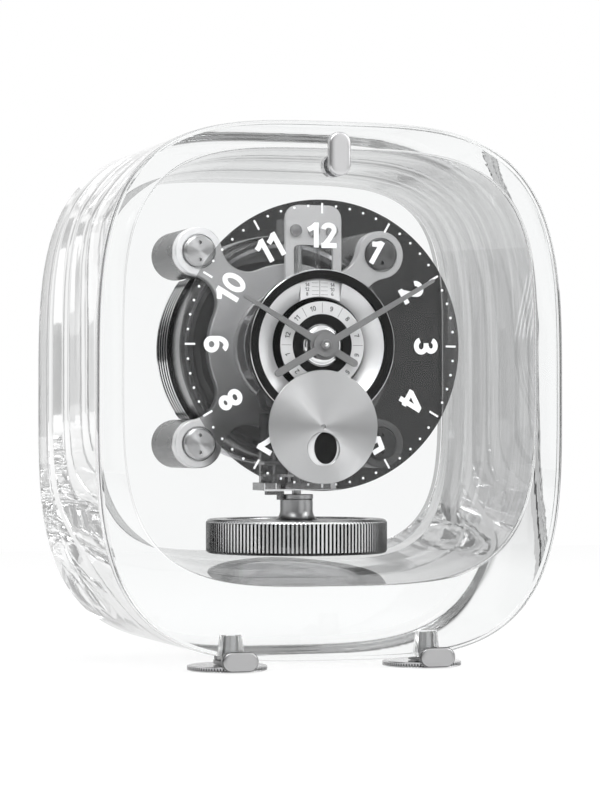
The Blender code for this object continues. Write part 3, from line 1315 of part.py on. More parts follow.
def month_disc():
    """The ring of twelve month fields, which turns once a year."""
    profile = (
        (MONTH_BORE, -MONTH_RISE), (MONTH_RADIUS, -MONTH_RISE),
        (MONTH_RADIUS, MONTH_THICKNESS - MONTH_RISE), (MONTH_BORE, MONTH_THICKNESS - MONTH_RISE),
    )
    return turned("month_disc", profile, "Y", BLACK, at(0, 0, 0), closed=True, count=FINE)


def month_hub():
    """The steel hub that carries the month disc."""
    flange = MONTH_THICKNESS - MONTH_RISE + TOUCH
    boss = MONTH_BORE - TOUCH
    rear = FRONT_PLATE_BEHIND_DIAL - TOUCH
    profile = (
        (MONTH_HUB_BORE, flange), (MONTH_HUB_FLANGE, flange), (MONTH_HUB_FLANGE, flange + WHEEL_THICKNESS),
        (boss, flange + WHEEL_THICKNESS), (boss, rear), (MONTH_HUB_BORE, rear),
    )
    return turned("month_hub", profile, "Y", STEEL, at(0, 0, 0), closed=True)


def hand(name, length, tail, hub_radius, bore, rise, angle):
    """A tapering hand with a round hub, drawn pointing up and turned to its place."""
    root = HAND_ROOT_WIDTH / 2
    tip = HAND_TIP_WIDTH / 2
    outline = [(tip, length), (-tip, length), (-root, 0), (-root, -tail), (root, -tail), (root, 0)]
    place = at(0, 0, 0)
    front = TOUCH / 3 - rise
    back = HAND_THICKNESS - TOUCH / 3 - rise
    blade = extruded(f"join_{name}_blade", outline, front, back, GREY, place)
    profile = ((hub_radius, -rise), (hub_radius, -rise + HAND_THICKNESS))
    made = turned(name, profile, "Y", GREY, place)
    for piece in (made, blade):
        piece.rotation_euler[1] = math.radians(angle)
    combine(made, blade, "UNION")
    return drill(made, bore, "Y", place, -rise - OVERRUN, OVERRUN - rise + HAND_THICKNESS)


def hand_nut():
    """The small cap in front of the hands."""
    front = -MINUTE_HAND_RISE - TOUCH - NUT_HEIGHT
    bore = ARBOR_RADIUS + TOUCH
    profile = (
        (bore, front), (NUT_RADIUS - TOUCH, front), (NUT_RADIUS, front + TOUCH),
        (NUT_RADIUS, front + NUT_HEIGHT), (bore, front + NUT_HEIGHT),
    )
    return turned("hand_nut", profile, "Y", STEEL, at(0, 0, 0), closed=True, count=SMALL)


def moon_plate():
    """The brushed plate at six with the round moon window and its small peep hole."""
    front = -MOON_PLATE_RISE
    edge = MOON_PLATE_THICKNESS / 4
    profile = (
        (MOON_PLATE_RADIUS - edge, front), (MOON_PLATE_RADIUS, front + edge),
        (MOON_PLATE_RADIUS, front + MOON_PLATE_THICKNESS),
    )
    made = turned("moon_plate", profile, "Y", BRUSHED, at(0, 0, -MOON_PLATE_DROP), count=FINE)
    end = front + MOON_PLATE_THICKNESS + OVERRUN
    drill(made, MOON_WINDOW_RADIUS, "Y", at(0, 0, -MOON_WINDOW_DROP), front - OVERRUN, end, MEDIUM)
    return drill(made, MOON_PEEP_RADIUS, "Y", at(0, 0, -MOON_PLATE_DROP), front - OVERRUN, end, PIN)


def moon_disc():
    """The dark disc with the moon on it, which turns behind the window."""
    back = -TOUCH
    front = back - MOON_DISC_THICKNESS
    profile = (
        (MOON_DISC_RADIUS, front), (MOON_DISC_RADIUS, back), (MOON_STUB_RADIUS, back),
        (MOON_STUB_RADIUS, DIAL_THICKNESS + MOON_STUB_REACH),
    )
    return turned("moon_disc", profile, "Y", BLACK, at(0, 0, -MOON_DISC_DROP))


# The clock

for old in list(bpy.data.objects):
    bpy.data.objects.remove(old, do_unlink=True)

CRYSTAL = material("crystal", (0.96, 0.97, 0.97), 0.0, 0.0, 1.0)
GLASS = material("pane_glass", (0.97, 0.98, 0.98), 0.0, 0.0, 1.0)
SMOKED = material("smoked_glass", (0.05, 0.05, 0.055), 0.03, 0.0, 0.6)
STEEL = material("polished_steel", (0.62, 0.62, 0.62), 0.22, 1.0)
BRUSHED = material("brushed_rhodium", (0.72, 0.72, 0.71), 0.32, 1.0)
POLISHED = material("bright_silver", (0.82, 0.82, 0.81), 0.15, 1.0)
DARK_STEEL = material("dark_steel", (0.20, 0.20, 0.21), 0.30, 1.0)
BRASS = material("plated_brass", (0.60, 0.58, 0.54), 0.25, 1.0)
BLACK = material("black_lacquer", (0.02, 0.02, 0.022), 0.35, 0.0)
GREY = material("grey_hands", (0.18, 0.18, 0.18), 0.45, 0.6)

crystal_case()
rear_glass()
front_door()
latch_knob()
latch_cam()
for SIDE, WORD in ((-1, "left"), (1, "right")):
    foot_stud(SIDE, f"foot_stud_{WORD}")
    foot_clip(SIDE, f"foot_clip_{WORD}")
    level_disc(SIDE, f"level_disc_{WORD}")
rear_foot()
for CORNER, ACROSS, UP in pillar_places():
    pillar(CORNER, ACROSS, UP)
    pillar_screw(CORNER, ACROSS, UP)
front_bridge()
capsule_drum()
gas_capsule()
capsule_lid()
main_plate()
front_plate()
train_bridge()
centre_wheel()
contrate_wheel()
spring_barrel()
hour_pipe()
minute_wheel()
lower_bridge()
escapement_cock()
escape_wheel()
pallet_lever()
balance_lock()
balance_rim()
balance_hub()
suspension_wire()
suspension_tube()
top_plate()
suspension_block()
for NUMBER in (1, 2, 3):
    top_screw(NUMBER, (NUMBER - 2) * TOP_SCREW_SPACING)
level_tube()
dished_ring()
day_scale()
dial_ring()
dial_glass()
month_well()
month_disc()
month_hub()
hand(
    "hour_hand", HOUR_HAND_LENGTH, HOUR_HAND_TAIL, HOUR_HUB_RADIUS, PIPE_RADIUS + TOUCH,
    HOUR_HAND_RISE, HOUR_ANGLE,
)
hand(
    "minute_hand", MINUTE_HAND_LENGTH, MINUTE_HAND_TAIL, MINUTE_HUB_RADIUS, ARBOR_RADIUS + TOUCH,
    MINUTE_HAND_RISE, MINUTE_ANGLE,
)
hand_nut()
moon_plate()
moon_disc()
settle()
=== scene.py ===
"""Looks of the atmospheric clock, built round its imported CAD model.

Metres, +Z up. Sizes are in millimetres, depths run back from the dial's face and heights up from the
dial's centre; `at` turns them into places. Pieces that show fine detail replace their CAD node; the
others keep it and get a better material.
"""

import math

import bmesh
import bpy
from mathutils import Matrix, Vector

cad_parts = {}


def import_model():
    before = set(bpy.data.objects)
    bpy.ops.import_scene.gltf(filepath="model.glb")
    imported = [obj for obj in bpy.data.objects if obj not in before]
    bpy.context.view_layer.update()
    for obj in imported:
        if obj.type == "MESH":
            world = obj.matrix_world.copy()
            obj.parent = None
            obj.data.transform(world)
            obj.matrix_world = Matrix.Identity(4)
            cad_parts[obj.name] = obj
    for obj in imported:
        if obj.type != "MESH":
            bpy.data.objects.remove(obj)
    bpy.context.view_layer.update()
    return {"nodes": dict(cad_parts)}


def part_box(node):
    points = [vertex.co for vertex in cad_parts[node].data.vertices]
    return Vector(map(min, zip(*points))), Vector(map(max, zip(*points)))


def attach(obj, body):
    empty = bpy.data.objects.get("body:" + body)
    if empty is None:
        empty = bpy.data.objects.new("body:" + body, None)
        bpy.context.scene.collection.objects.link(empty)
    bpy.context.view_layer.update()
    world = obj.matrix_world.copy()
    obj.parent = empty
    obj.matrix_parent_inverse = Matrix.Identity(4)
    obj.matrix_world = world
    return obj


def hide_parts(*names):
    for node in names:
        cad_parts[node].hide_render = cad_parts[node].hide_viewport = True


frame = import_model()
NODES = frame["nodes"]

MM = 0.001
CASE_LOW, CASE_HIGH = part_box("crystal_case")
DIAL_LOW, DIAL_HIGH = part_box("dial_glass")
DIAL_Y = DIAL_LOW.y
DIAL_Z = (DIAL_LOW.z + DIAL_HIGH.z) / 2


def at(x, behind, height):
    """A place in metres from millimetres across, behind the dial's face and over its centre."""
    return Vector((x * MM, DIAL_Y + behind * MM, DIAL_Z + height * MM))


def front(node):
    """How far a CAD node's front lies behind the dial's face, in millimetres."""
    return (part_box(node)[0].y - DIAL_Y) / MM


def middle(node):
    """The middle of a CAD node's box."""
    low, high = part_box(node)
    return (low + high) / 2


def size(node):
    """How wide, deep and tall a CAD node is, in millimetres."""
    low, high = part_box(node)
    return (high - low) / MM


# Node helpers


class Maker:
    """Adds nodes to a material or a world and joins them up."""

    def __init__(self, owner, out="ShaderNodeOutputMaterial"):
        owner.use_nodes = True
        self.owner = owner
        self.tree = owner.node_tree
        self.tree.nodes.clear()
        self.out = self.add(out)

    def add(self, kind, inputs=(), **settings):
        """A node. Its inputs, by name or number, are plain values or other nodes' outputs."""
        node = self.tree.nodes.new(kind)
        for key, value in settings.items():
            setattr(node, key, value)
        for key, value in dict(inputs).items():
            if isinstance(value, bpy.types.NodeSocket):
                self.tree.links.new(value, node.inputs[key])
            else:
                node.inputs[key].default_value = value
        return node

    def show(self, shader):
        """Sends a shader to the output."""
        self.tree.links.new(shader, self.out.inputs[0])

    def blend(self, share, first, second):
        """Sends a mix of two shaders to the output, with a share of the second."""
        self.show(self.add("ShaderNodeMixShader", enumerate((share, first, second))).outputs[0])

    def principled(self, inputs):
        return self.add("ShaderNodeBsdfPrincipled", inputs).outputs[0]

    def path(self):
        """What kind of ray looks, and how often it was turned before."""
        return self.add("ShaderNodeLightPath").outputs

    def facing(self):
        """How far the surface turns away from the eye."""
        return self.add("ShaderNodeLayerWeight", {"Blend": 0.5}).outputs["Facing"]

    def math(self, operation, *values, clamp=False):
        node = self.add("ShaderNodeMath", enumerate(values), operation=operation, use_clamp=clamp)
        return node.outputs[0]

    def times(self, first, *others):
        """The product of values."""
        for value in others:
            first = self.math("MULTIPLY", first, value)
        return first

    def most(self, first, *others):
        """The largest of values."""
        for value in others:
            first = self.math("MAXIMUM", first, value)
        return first

    def coordinates(self, scale=(1, 1, 1)):
        """The piece's own coordinates, stretched."""
        place = self.add("ShaderNodeTexCoord").outputs["Object"]
        return self.add("ShaderNodeMapping", {"Vector": place, "Scale": scale}).outputs[0]

    def split(self, kind="Object"):
        """The three coordinates of a place."""
        place = self.add("ShaderNodeTexCoord").outputs[kind]
        return self.add("ShaderNodeSeparateXYZ", {0: place}).outputs

    def round(self, axis):
        """The distance from the piece's own axis, for the fine circles that turning leaves."""
        x, y, z = self.split()
        across = self.math("POWER", x, 2)
        up = self.math("POWER", z if axis == "Y" else y, 2)
        reach = self.math("SQRT", self.math("ADD", across, up))
        return self.add("ShaderNodeCombineXYZ", {0: reach}).outputs[0]

    def noise(self, vector, scale, detail=2.0, roughness=0.5):
        inputs = {"Vector": vector, "Scale": scale, "Detail": detail, "Roughness": roughness}
        return self.add("ShaderNodeTexNoise", inputs).outputs["Fac"]

    def spread(self, value, low, high, source_low=0.0, source_high=1.0, **settings):
        """Maps a value from one range to another."""
        source = {"Value": value, "From Min": source_low, "From Max": source_high}
        node = self.add("ShaderNodeMapRange", {**source, "To Min": low, "To Max": high}, **settings)
        return node.outputs["Result"]

    def colour(self, value, low, high):
        """A colour between two, by a value from 0 to 1."""
        ramp = self.add("ShaderNodeValToRGB", {"Fac": value})
        for element, tone in zip(ramp.color_ramp.elements, (low, high)):
            element.color = (*tone, 1)
        return ramp.outputs["Color"]

    def scaled(self, tone, share):
        """A share of a colour."""
        node = self.add("ShaderNodeVectorMath", {0: tone, "Scale": share}, operation="SCALE")
        return node.outputs["Vector"]

    def bump(self, height, strength, distance):
        """A surface's small heights, their distance in millimetres."""
        inputs = {"Height": height, "Strength": strength, "Distance": distance * MM}
        return self.add("ShaderNodeBump", inputs).outputs["Normal"]


# Looks

LINES = {"lines_x": (60, 2500, 9000), "lines_z": (9000, 2500, 60)}


def grey(value):
    """A grey with a trace of blue."""
    return (value, value, value * 1.01)


def metal(name, value, roughness, grain="plain", anisotropic=0.0, mottled=0.06, satin=0.0, edge=None,
          foot=None):
    """A metal with fine brushing round its "Y" or "Z" axis, along "lines_x" or "lines_z", or plain.

    `satin` is the share of light that it scatters like a blasted surface, and `edge` the share that
    it still reflects where it turns away from the eye. `foot` is the share of its colour left at the
    piece's foot, painted shade for the dark works below it that it would reflect, but for its left
    end, which stands clear of them.
    """
    make = Maker(bpy.data.materials.new(name))
    surface = {"Metallic": 1.0 - satin}
    depth = 0.012
    if grain in LINES:
        lines = make.noise(make.coordinates(LINES[grain]), 1.0, 3.0, 0.7)
    elif grain == "plain":
        lines = make.noise(make.coordinates(), 3000.0, 4.0, 0.6)
        depth *= 0.2
    else:
        lines = make.noise(make.round(grain), 9000.0, 3.0, 0.7)
        surface["Tangent"] = make.add("ShaderNodeTangent", direction_type="RADIAL", axis=grain).outputs[0]
        surface["Anisotropic"] = anisotropic
        surface["Anisotropic Rotation"] = 0.25
    clouds = make.noise(make.coordinates(), 90.0)
    both = make.math("ADD", make.times(lines, 0.6), make.times(clouds, 0.4))
    tone = make.colour(both, grey(value * (1 - mottled)), grey(min(value * (1 + mottled), 0.98)))
    if edge is not None:
        tone = make.scaled(tone, make.spread(make.facing(), 1.0, edge, 0.30, 0.62))
    # Painted shade: darker towards the piece's foot, save for its left end.
    if foot is not None:
        place = make.split()
        painted_foot_shade = make.spread(place["Z"], foot, 1.0, -34 * MM, 8 * MM)
        clear = make.spread(place["X"], 0.85, foot, -39 * MM, -33 * MM)
        tone = make.scaled(tone, make.most(painted_foot_shade, clear))
    surface["Base Color"] = tone
    surface["Roughness"] = make.spread(both, roughness * 0.85, roughness * 1.2)
    surface["Normal"] = make.bump(lines, 0.2, depth)
    make.show(make.principled(surface))
    return make.owner


def lacquer(name, value, roughness, level=0.5):
    """A painted or enamelled surface with a faint orange peel."""
    make = Maker(bpy.data.materials.new(name))
    fine = make.noise(make.coordinates(), 1600.0, 3.0, 0.6)
    clouds = make.noise(make.coordinates(), 120.0)
    make.show(make.principled({
        "Base Color": make.colour(clouds, grey(value * 0.93), grey(min(value * 1.05, 0.97))),
        "Roughness": make.spread(fine, roughness * 0.85, roughness * 1.15),
        "Specular IOR Level": level,
        "Normal": make.bump(fine, 0.12, 0.01),
    }))
    return make.owner


def clear_glass(name, tint, waves, wave_scale, index=1.5, up=1, slant=None, shine=1.0, haze=0.0):
    """Clear glass or crystal that lets lamps through, with the slight waves of a polished surface.

    With `slant` the surface passes only that much light where it is seen at a grazing angle, as the
    walls of the thick crystal do. `up` is how close its waves lie up and down.
    """
    make = Maker(bpy.data.materials.new(name))
    base = (*tint, 1)
    if slant is not None:
        streaks = make.noise(make.coordinates((6, 150, 6)), 1.0, 4.0, 0.65)
        bands = make.spread(streaks, -0.30, 0.30, 0.30, 0.70)
        turned_away = make.spread(make.facing(), 0.0, 1.0, 0.28, 0.58)
        ramp = make.math("MULTIPLY", turned_away, make.math("ADD", 0.92, bands), clamp=True)
        base = make.colour(ramp, tint, slant)
    ripple = make.noise(make.coordinates((1, 1, up)), wave_scale)
    smears = make.noise(make.coordinates(), 45.0, 3.0, 0.6)
    shader = make.principled({
        "Base Color": base,
        "Transmission Weight": 1.0,
        "IOR": index,
        "Specular Tint": (shine, shine, shine, 1),
        "Roughness": make.spread(smears, haze, haze + 0.012, 0.45, 0.9),
        "Normal": make.bump(ripple, waves, 0.4),
    })
    clear = make.add("ShaderNodeBsdfTransparent", {"Color": (0.93, 0.93, 0.93, 1)})
    make.blend(make.path()["Is Shadow Ray"], shader, clear.outputs[0])
    return make.owner


def smoked_glass(name):
    """The dark see-through glass of the dial."""
    make = Maker(bpy.data.materials.new(name))
    fine = make.noise(make.coordinates(), 700.0)
    clouds = make.noise(make.coordinates(), 40.0)
    shader = make.principled({
        "Base Color": make.colour(clouds, grey(0.030), grey(0.038)),
        "Roughness": make.spread(fine, 0.03, 0.06),
        "Normal": make.bump(fine, 0.02, 0.01),
        "Alpha": 0.30,
        "Specular IOR Level": 0.3,
    })
    path = make.path()
    mirrored = make.math("GREATER_THAN", path["Glossy Depth"], 0.5)
    light = make.most(path["Is Shadow Ray"], path["Is Diffuse Ray"], mirrored)
    make.blend(light, shader, make.add("ShaderNodeBsdfTransparent").outputs[0])
    return make.owner


CRYSTAL_TINT = (0.975, 0.98, 0.98)
CRYSTAL = clear_glass("crystal_clear", CRYSTAL_TINT, 0.06, 130.0, up=0.25)
CRYSTAL_INNER = clear_glass(
    "crystal_inner", CRYSTAL_TINT, 0.02, 60.0, up=0.25, slant=(0.315, 0.317, 0.319), haze=0.03,
)
CRYSTAL_SEAT = clear_glass("crystal_seat", (0.35, 0.35, 0.35), 0.02, 60.0)
CRYSTAL_SEAT_DULL = clear_glass("crystal_seat_dull", (0.32, 0.32, 0.32), 0.0, 60.0, 1.0)
FROSTED = clear_glass("rubber_clear", (0.93, 0.93, 0.93), 0.05, 900.0, 1.4)
SEAMLESS = clear_glass("rubber_seamless", (0.99, 0.99, 0.99), 0.0, 60.0, 1.0)
PANE = clear_glass("pane_clear", (0.965, 0.97, 0.97), 0.004, 30.0, 1.46, shine=0.10)
SMOKED = smoked_glass("smoked_dial")
STEEL = metal("steel_polished", 0.62, 0.16)
STEEL_TURNED = metal("steel_turned", 0.62, 0.36, "Y", 0.9)
# Darker copies of the turned steel for the two right pillar screws: painted shade.
STEEL_TURNED_PAINTED_SHADE = metal("steel_turned_painted_shade", 0.20, 0.36, "Y", 0.9)
STEEL_TURNED_PAINTED_DEEP_SHADE = metal("steel_turned_painted_deep_shade", 0.08, 0.32, "Y", 0.9)
# The bridge plate's metal; its foot gets painted shade.
BRUSHED = metal("rhodium_lines", 0.92, 0.36, "lines_z", satin=0.25, foot=0.18)
TOP_RHODIUM = metal("rhodium_top", 0.97, 0.40, "lines_z", satin=0.75)
DARK_PLATE = metal("steel_shaded", 0.26, 0.22)
BRUSHED_ROUND = metal("rhodium_round", 0.66, 0.26, "Y", 0.5, edge=0.22)
BRUSHED_PLAIN = metal("rhodium_matt", 0.62, 0.34)
MOON_SILVER = metal("moon_plate_silver", 0.61, 0.42, "Y", 0.92)
SILVER_AND_PAINTED_HIGHLIGHT = metal("silver_bright_and_painted_highlight", 0.86, 0.12, "Y", 0.3)
SILVER_SATIN = metal("silver_satin", 0.92, 0.40, "Y", 0.2, satin=0.45)
WHITE_SILVER = metal("silver_white", 0.90, 0.38)
STUD_STEEL = metal("stud_steel", 0.50, 0.28, edge=0.15)
CAPSULE = metal("capsule_steel", 0.09, 0.28, "Y", 0.4)
DARK_STEEL_AND_PAINTED_SHADE = metal("steel_dark_and_painted_shade", 0.16, 0.26)
BLACKED_STEEL_AND_PAINTED_SHADE = metal("steel_blacked_and_painted_shade", 0.035, 0.24)
DOME_STEEL = metal("dome_steel", 0.88, 0.10)
DRUM_METAL = metal("drum_steel", 0.62, 0.24, "Y", 0.4, edge=0.5)
BALANCE_METAL = metal("balance_steel", 0.80, 0.24, edge=0.14)
HUB_METAL = metal("hub_steel", 0.46, 0.30, "Z", 0.2, mottled=0.02, edge=0.20)
BRASS = metal("train_plated", 0.50, 0.24)
BLACK = lacquer("lacquer_black", 0.008, 0.50, level=0.12)
WHITE = lacquer("print_white", 0.93, 0.45)
PALE = lacquer("moon_pale", 0.70, 0.35)
LATCH_STEEL = metal("steel_satin", 0.70, 0.30, "lines_z")
CLIP_STEEL = metal("clip_satin", 0.52, 0.28, "lines_x")
RING_PALE = lacquer("year_ring", 0.60, 0.40)
HAND_GREY = lacquer("hand_grey", 0.17, 0.42)
INK = lacquer("print_dark", 0.05, 0.5)

# The CAD nodes that stay
CAD_LOOKS = (
    (STEEL, "latch_cam", "hour_pipe", "escapement_cock", "pallet_lever", "suspension_wire"),
    (STEEL, "top_screw_1", "top_screw_2", "top_screw_3", "month_hub"),
    (STUD_STEEL, "foot_stud_left", "foot_stud_right"),
    (CAPSULE, "gas_capsule", "capsule_lid"),
    (BRUSHED_PLAIN, "main_plate", "front_plate", "suspension_tube"),
    (BRASS, "train_bridge", "centre_wheel", "contrate_wheel", "spring_barrel"),
    (BRASS, "minute_wheel", "escape_wheel"),
    (DARK_STEEL_AND_PAINTED_SHADE, "balance_lock", "suspension_block"),
    (DARK_PLATE, "lower_bridge"),
    (TOP_RHODIUM, "top_plate"),
    (PANE, "level_tube"),
    (BLACK, "month_well"),
    (HAND_GREY, "hand_nut"),
)


# Points in millimetres


def polar(reach, degrees):
    """A point at a distance, its angle from the right and upward positive."""
    return reach * math.cos(math.radians(degrees)), reach * math.sin(math.radians(degrees))


def bow(x, y, wide, high, start, end, steps=20):
    """Points along an oval from one angle to another, in degrees from the right, upward positive."""
    points = []
    for i in range(steps + 1):
        turn = math.radians(start + (end - start) * i / steps)
        points.append((x + wide * math.cos(turn), y + high * math.sin(turn)))
    return points


def upright(points, y):
    """A ring in metres, from points across and up and from a depth."""
    return [(x * MM, y * MM, z * MM) for x, z in points]


def ring_points(radius, along, axis, count):
    """A circle of points in metres round an axis."""
    turns = [2 * math.pi * i / count for i in range(count)]
    radius *= MM
    along *= MM
    if axis == "Y":
        return [(radius * math.sin(turn), along, radius * math.cos(turn)) for turn in turns]
    return [(radius * math.cos(turn), radius * math.sin(turn), along) for turn in turns]


def stadium(wide, tall, depth):
    """A slot's outline in metres about its centre, upright or lying."""
    radius = min(wide, tall) / 2
    aside = wide / 2 - radius
    up = tall / 2 - radius
    start = 0 if tall > wide else -90
    points = bow(aside, up, radius, radius, start, start + 180)
    points += bow(-aside, -up, radius, radius, start + 180, start + 360)
    return upright(points, depth)


def supported(profile, closed):
    """Adds a point close to each end of the long straight runs, which keeps their shading straight."""
    longest = 1.2
    margin = 0.1
    full = []
    ends = profile[1:] + profile[:1] if closed else profile[1:]
    for (r0, a0), (r1, a1) in zip(profile, ends):
        full.append((r0, a0))
        length = math.hypot(r1 - r0, a1 - a0)
        if length > longest:
            share = margin / length
            full.append((r0 + (r1 - r0) * share, a0 + (a1 - a0) * share))
            full.append((r1 - (r1 - r0) * share, a1 - (a1 - a0) * share))
    if not closed:
        full.append(profile[-1])
    return full


# Shapes


def stand(name, data, place):
    """Puts an object into the scene."""
    made = bpy.data.objects.new(name, data)
    made.location = place
    bpy.context.collection.objects.link(made)
    return made


def shade(mesh, angle, flat_axis):
    """Smooth walls, sharp real edges, and truly flat end faces, so that glass doesn't bend the view."""
    mesh.shade_smooth()
    mesh.set_sharp_from_angle(angle=math.radians(angle))
    for face in mesh.polygons:
        if len(face.vertices) > 4 or abs(face.normal["XYZ".index(flat_axis)]) > 0.9998:
            face.use_smooth = False


def finish(name, bm, look, body="case", place=(0, 0, 0), angle=35, smooth=True, flat_axis="Y"):
    """Makes the object of a mesh, with its real edges sharp, and lets it ride on its body."""
    bmesh.ops.remove_doubles(bm, verts=bm.verts, dist=1e-7)
    bmesh.ops.recalc_face_normals(bm, faces=bm.faces)
    mesh = bpy.data.meshes.new(name)
    bm.to_mesh(mesh)
    bm.free()
    mesh.materials.append(look)
    if smooth:
        shade(mesh, angle, flat_axis)
    made = stand(name, mesh, place)
    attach(made, body)
    return made


def skin(bm, rings, closed=False):
    """Joins rings of equally many points."""
    loops = [[bm.verts.new(point) for point in ring] for ring in rings]
    pairs = list(zip(loops, loops[1:]))
    if closed:
        pairs.append((loops[-1], loops[0]))
    for low, high in pairs:
        count = len(low)
        for i in range(count):
            bm.faces.new((low[i], low[(i + 1) % count], high[(i + 1) % count], high[i]))
    if not closed:
        bm.faces.new(loops[0])
        bm.faces.new(list(reversed(loops[-1])))


def lofted(name, rings, look, body="case", closed=False, **rest):
    """A piece whose skin runs from ring to ring."""
    bm = bmesh.new()
    skin(bm, rings, closed)
    return finish(name, bm, look, body, **rest)


def turned(name, profile, look, place, body="case", axis="Y", closed=False, count=96):
    """A turned piece from (radius, distance) pairs."""
    rings = [ring_points(radius, along, axis, count) for radius, along in supported(list(profile), closed)]
    return lofted(name, rings, look, body, closed, place=place, flat_axis=axis)


def toothed(name, circles, teeth, steps, look, place, body, closed=False, wave=abs):
    """A ring with upright teeth all round, from (radius, height, how deep its teeth are cut)."""
    rings = []
    for radius, along, depth in circles:
        ring = []
        for i in range(teeth * steps):
            turn = 2 * math.pi * i / (teeth * steps)
            reach = (radius - depth + depth * wave(abs(math.sin(teeth * turn / 2)))) * MM
            ring.append((reach * math.cos(turn), reach * math.sin(turn), along * MM))
        rings.append(ring)
    return lofted(name, rings, look, body, closed, place=place, angle=60, flat_axis="Z")


def extruded(name, outline, ends, look, place, body="case", axis="Y", bevel=0.0):
    """A plate of an outline between two ends, with its edges bevelled."""
    if axis == "Y":
        rings = [upright(outline, y) for y in ends]
    else:
        rings = [[(x * MM, y * MM, z * MM) for x, y in outline] for z in ends]
    made = lofted(name, rings, look, body, place=place)
    cut = made.modifiers.new("Edge", "BEVEL")
    cut.width = bevel * MM
    cut.segments = 2
    cut.limit_method = "ANGLE"
    cut.angle_limit = math.radians(40)
    return made


def block(bm, x0, x1, y0, y1, z0, z1):
    """A square-edged block between places in metres."""
    skin(bm, [[(x0, y, z0), (x1, y, z0), (x1, y, z1), (x0, y, z1)] for y in (y0, y1)])


def soft_oval(name, wide, tall, edge, look, place, body="case"):
    """A stadium with soft edges, from (inset, depth) pairs."""
    rings = [stadium(wide - 2 * inset, tall - 2 * inset, depth) for inset, depth in edge]
    return lofted(name, rings, look, body, place=place, angle=50)


def cutter(profile, place, count=96, body="case", axis="Y"):
    """A turned shape to cut out of a piece."""
    return turned("tool", profile, STEEL, place, body, axis, count=count)


def cut_with(piece, *tools):
    """Cuts shapes out of a piece and keeps the result as its mesh."""
    for tool in tools:
        step = piece.modifiers.new("Cut", "BOOLEAN")
        step.operation = "DIFFERENCE"
        step.solver = "EXACT"
        step.object = tool
    bpy.context.view_layer.update()
    ready = bpy.context.evaluated_depsgraph_get()
    mesh = bpy.data.meshes.new_from_object(piece.evaluated_get(ready))
    piece.modifiers.clear()
    piece.data = mesh
    shade(mesh, 35, "Y")
    for tool in tools:
        bpy.data.objects.remove(tool, do_unlink=True)
    return piece


def out_from(face, axis="Y"):
    """How far a face lies from its piece's axis, in millimetres."""
    return math.hypot(face.center.x, face.center.z if axis == "Y" else face.center.y) / MM


def paint(made, choose, *looks):
    """Adds looks to a piece; `choose` gives a face 0 for its own look, 1 for the first added and so on."""
    for look in looks:
        made.data.materials.append(look)
    for face in made.data.polygons:
        face.material_index = int(choose(face))


def dress(piece, slot, *nodes):
    """Hides the CAD nodes that a new piece stands for; its slot is not used."""
    if nodes:
        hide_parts(*nodes)


# Case

SIDES = 288
WIDTH = CASE_HIGH.x - CASE_LOW.x
HEIGHT = CASE_HIGH.z - CASE_LOW.z
MIDDLE = (CASE_HIGH.z + CASE_LOW.z) / 2
FRONT = CASE_LOW.y
BACK = CASE_HIGH.y
REBATE = BACK - 10.7 * MM
CASE_POWER = 3.5  # how square the block is: 2 would be round
# The hollow's width, height, squareness and rise over the block's middle, at either end
FRONT_HOLLOW = (174 * MM, 175.4 * MM, 3.7, 9.5 * MM)
REAR_HOLLOW = (165.6 * MM, 159 * MM, 4.3, 12.1 * MM)


def rounded_power(width, height, power, y, z):
    """A superellipse in metres in the XZ plane, its points closer together round the corners."""
    points = []
    for i in range(SIDES):
        turn = 2 * math.pi * i / SIDES
        turn += math.sin(4 * turn) / 8
        across = abs(math.sin(turn)) / (width / 2)
        up = abs(math.cos(turn)) / (height / 2)
        reach = (across**power + up**power) ** (-1 / power)
        points.append((reach * math.sin(turn), y, z + reach * math.cos(turn)))
    return points


def hollow(shape, y, grow=0.0):
    """The hollow's outline, grown all round."""
    width, height, power, rise = shape
    return rounded_power(width + 2 * grow, height + 2 * grow, power, y, MIDDLE + rise)


def rounding(radius, steps):
    """A round edge as (inset, depth) pairs, from the face to the wall."""
    turns = [math.pi / 2 * i / steps for i in range(steps + 1)]
    return [(radius * (1 - math.sin(turn)), radius * (1 - math.cos(turn))) for turn in turns]


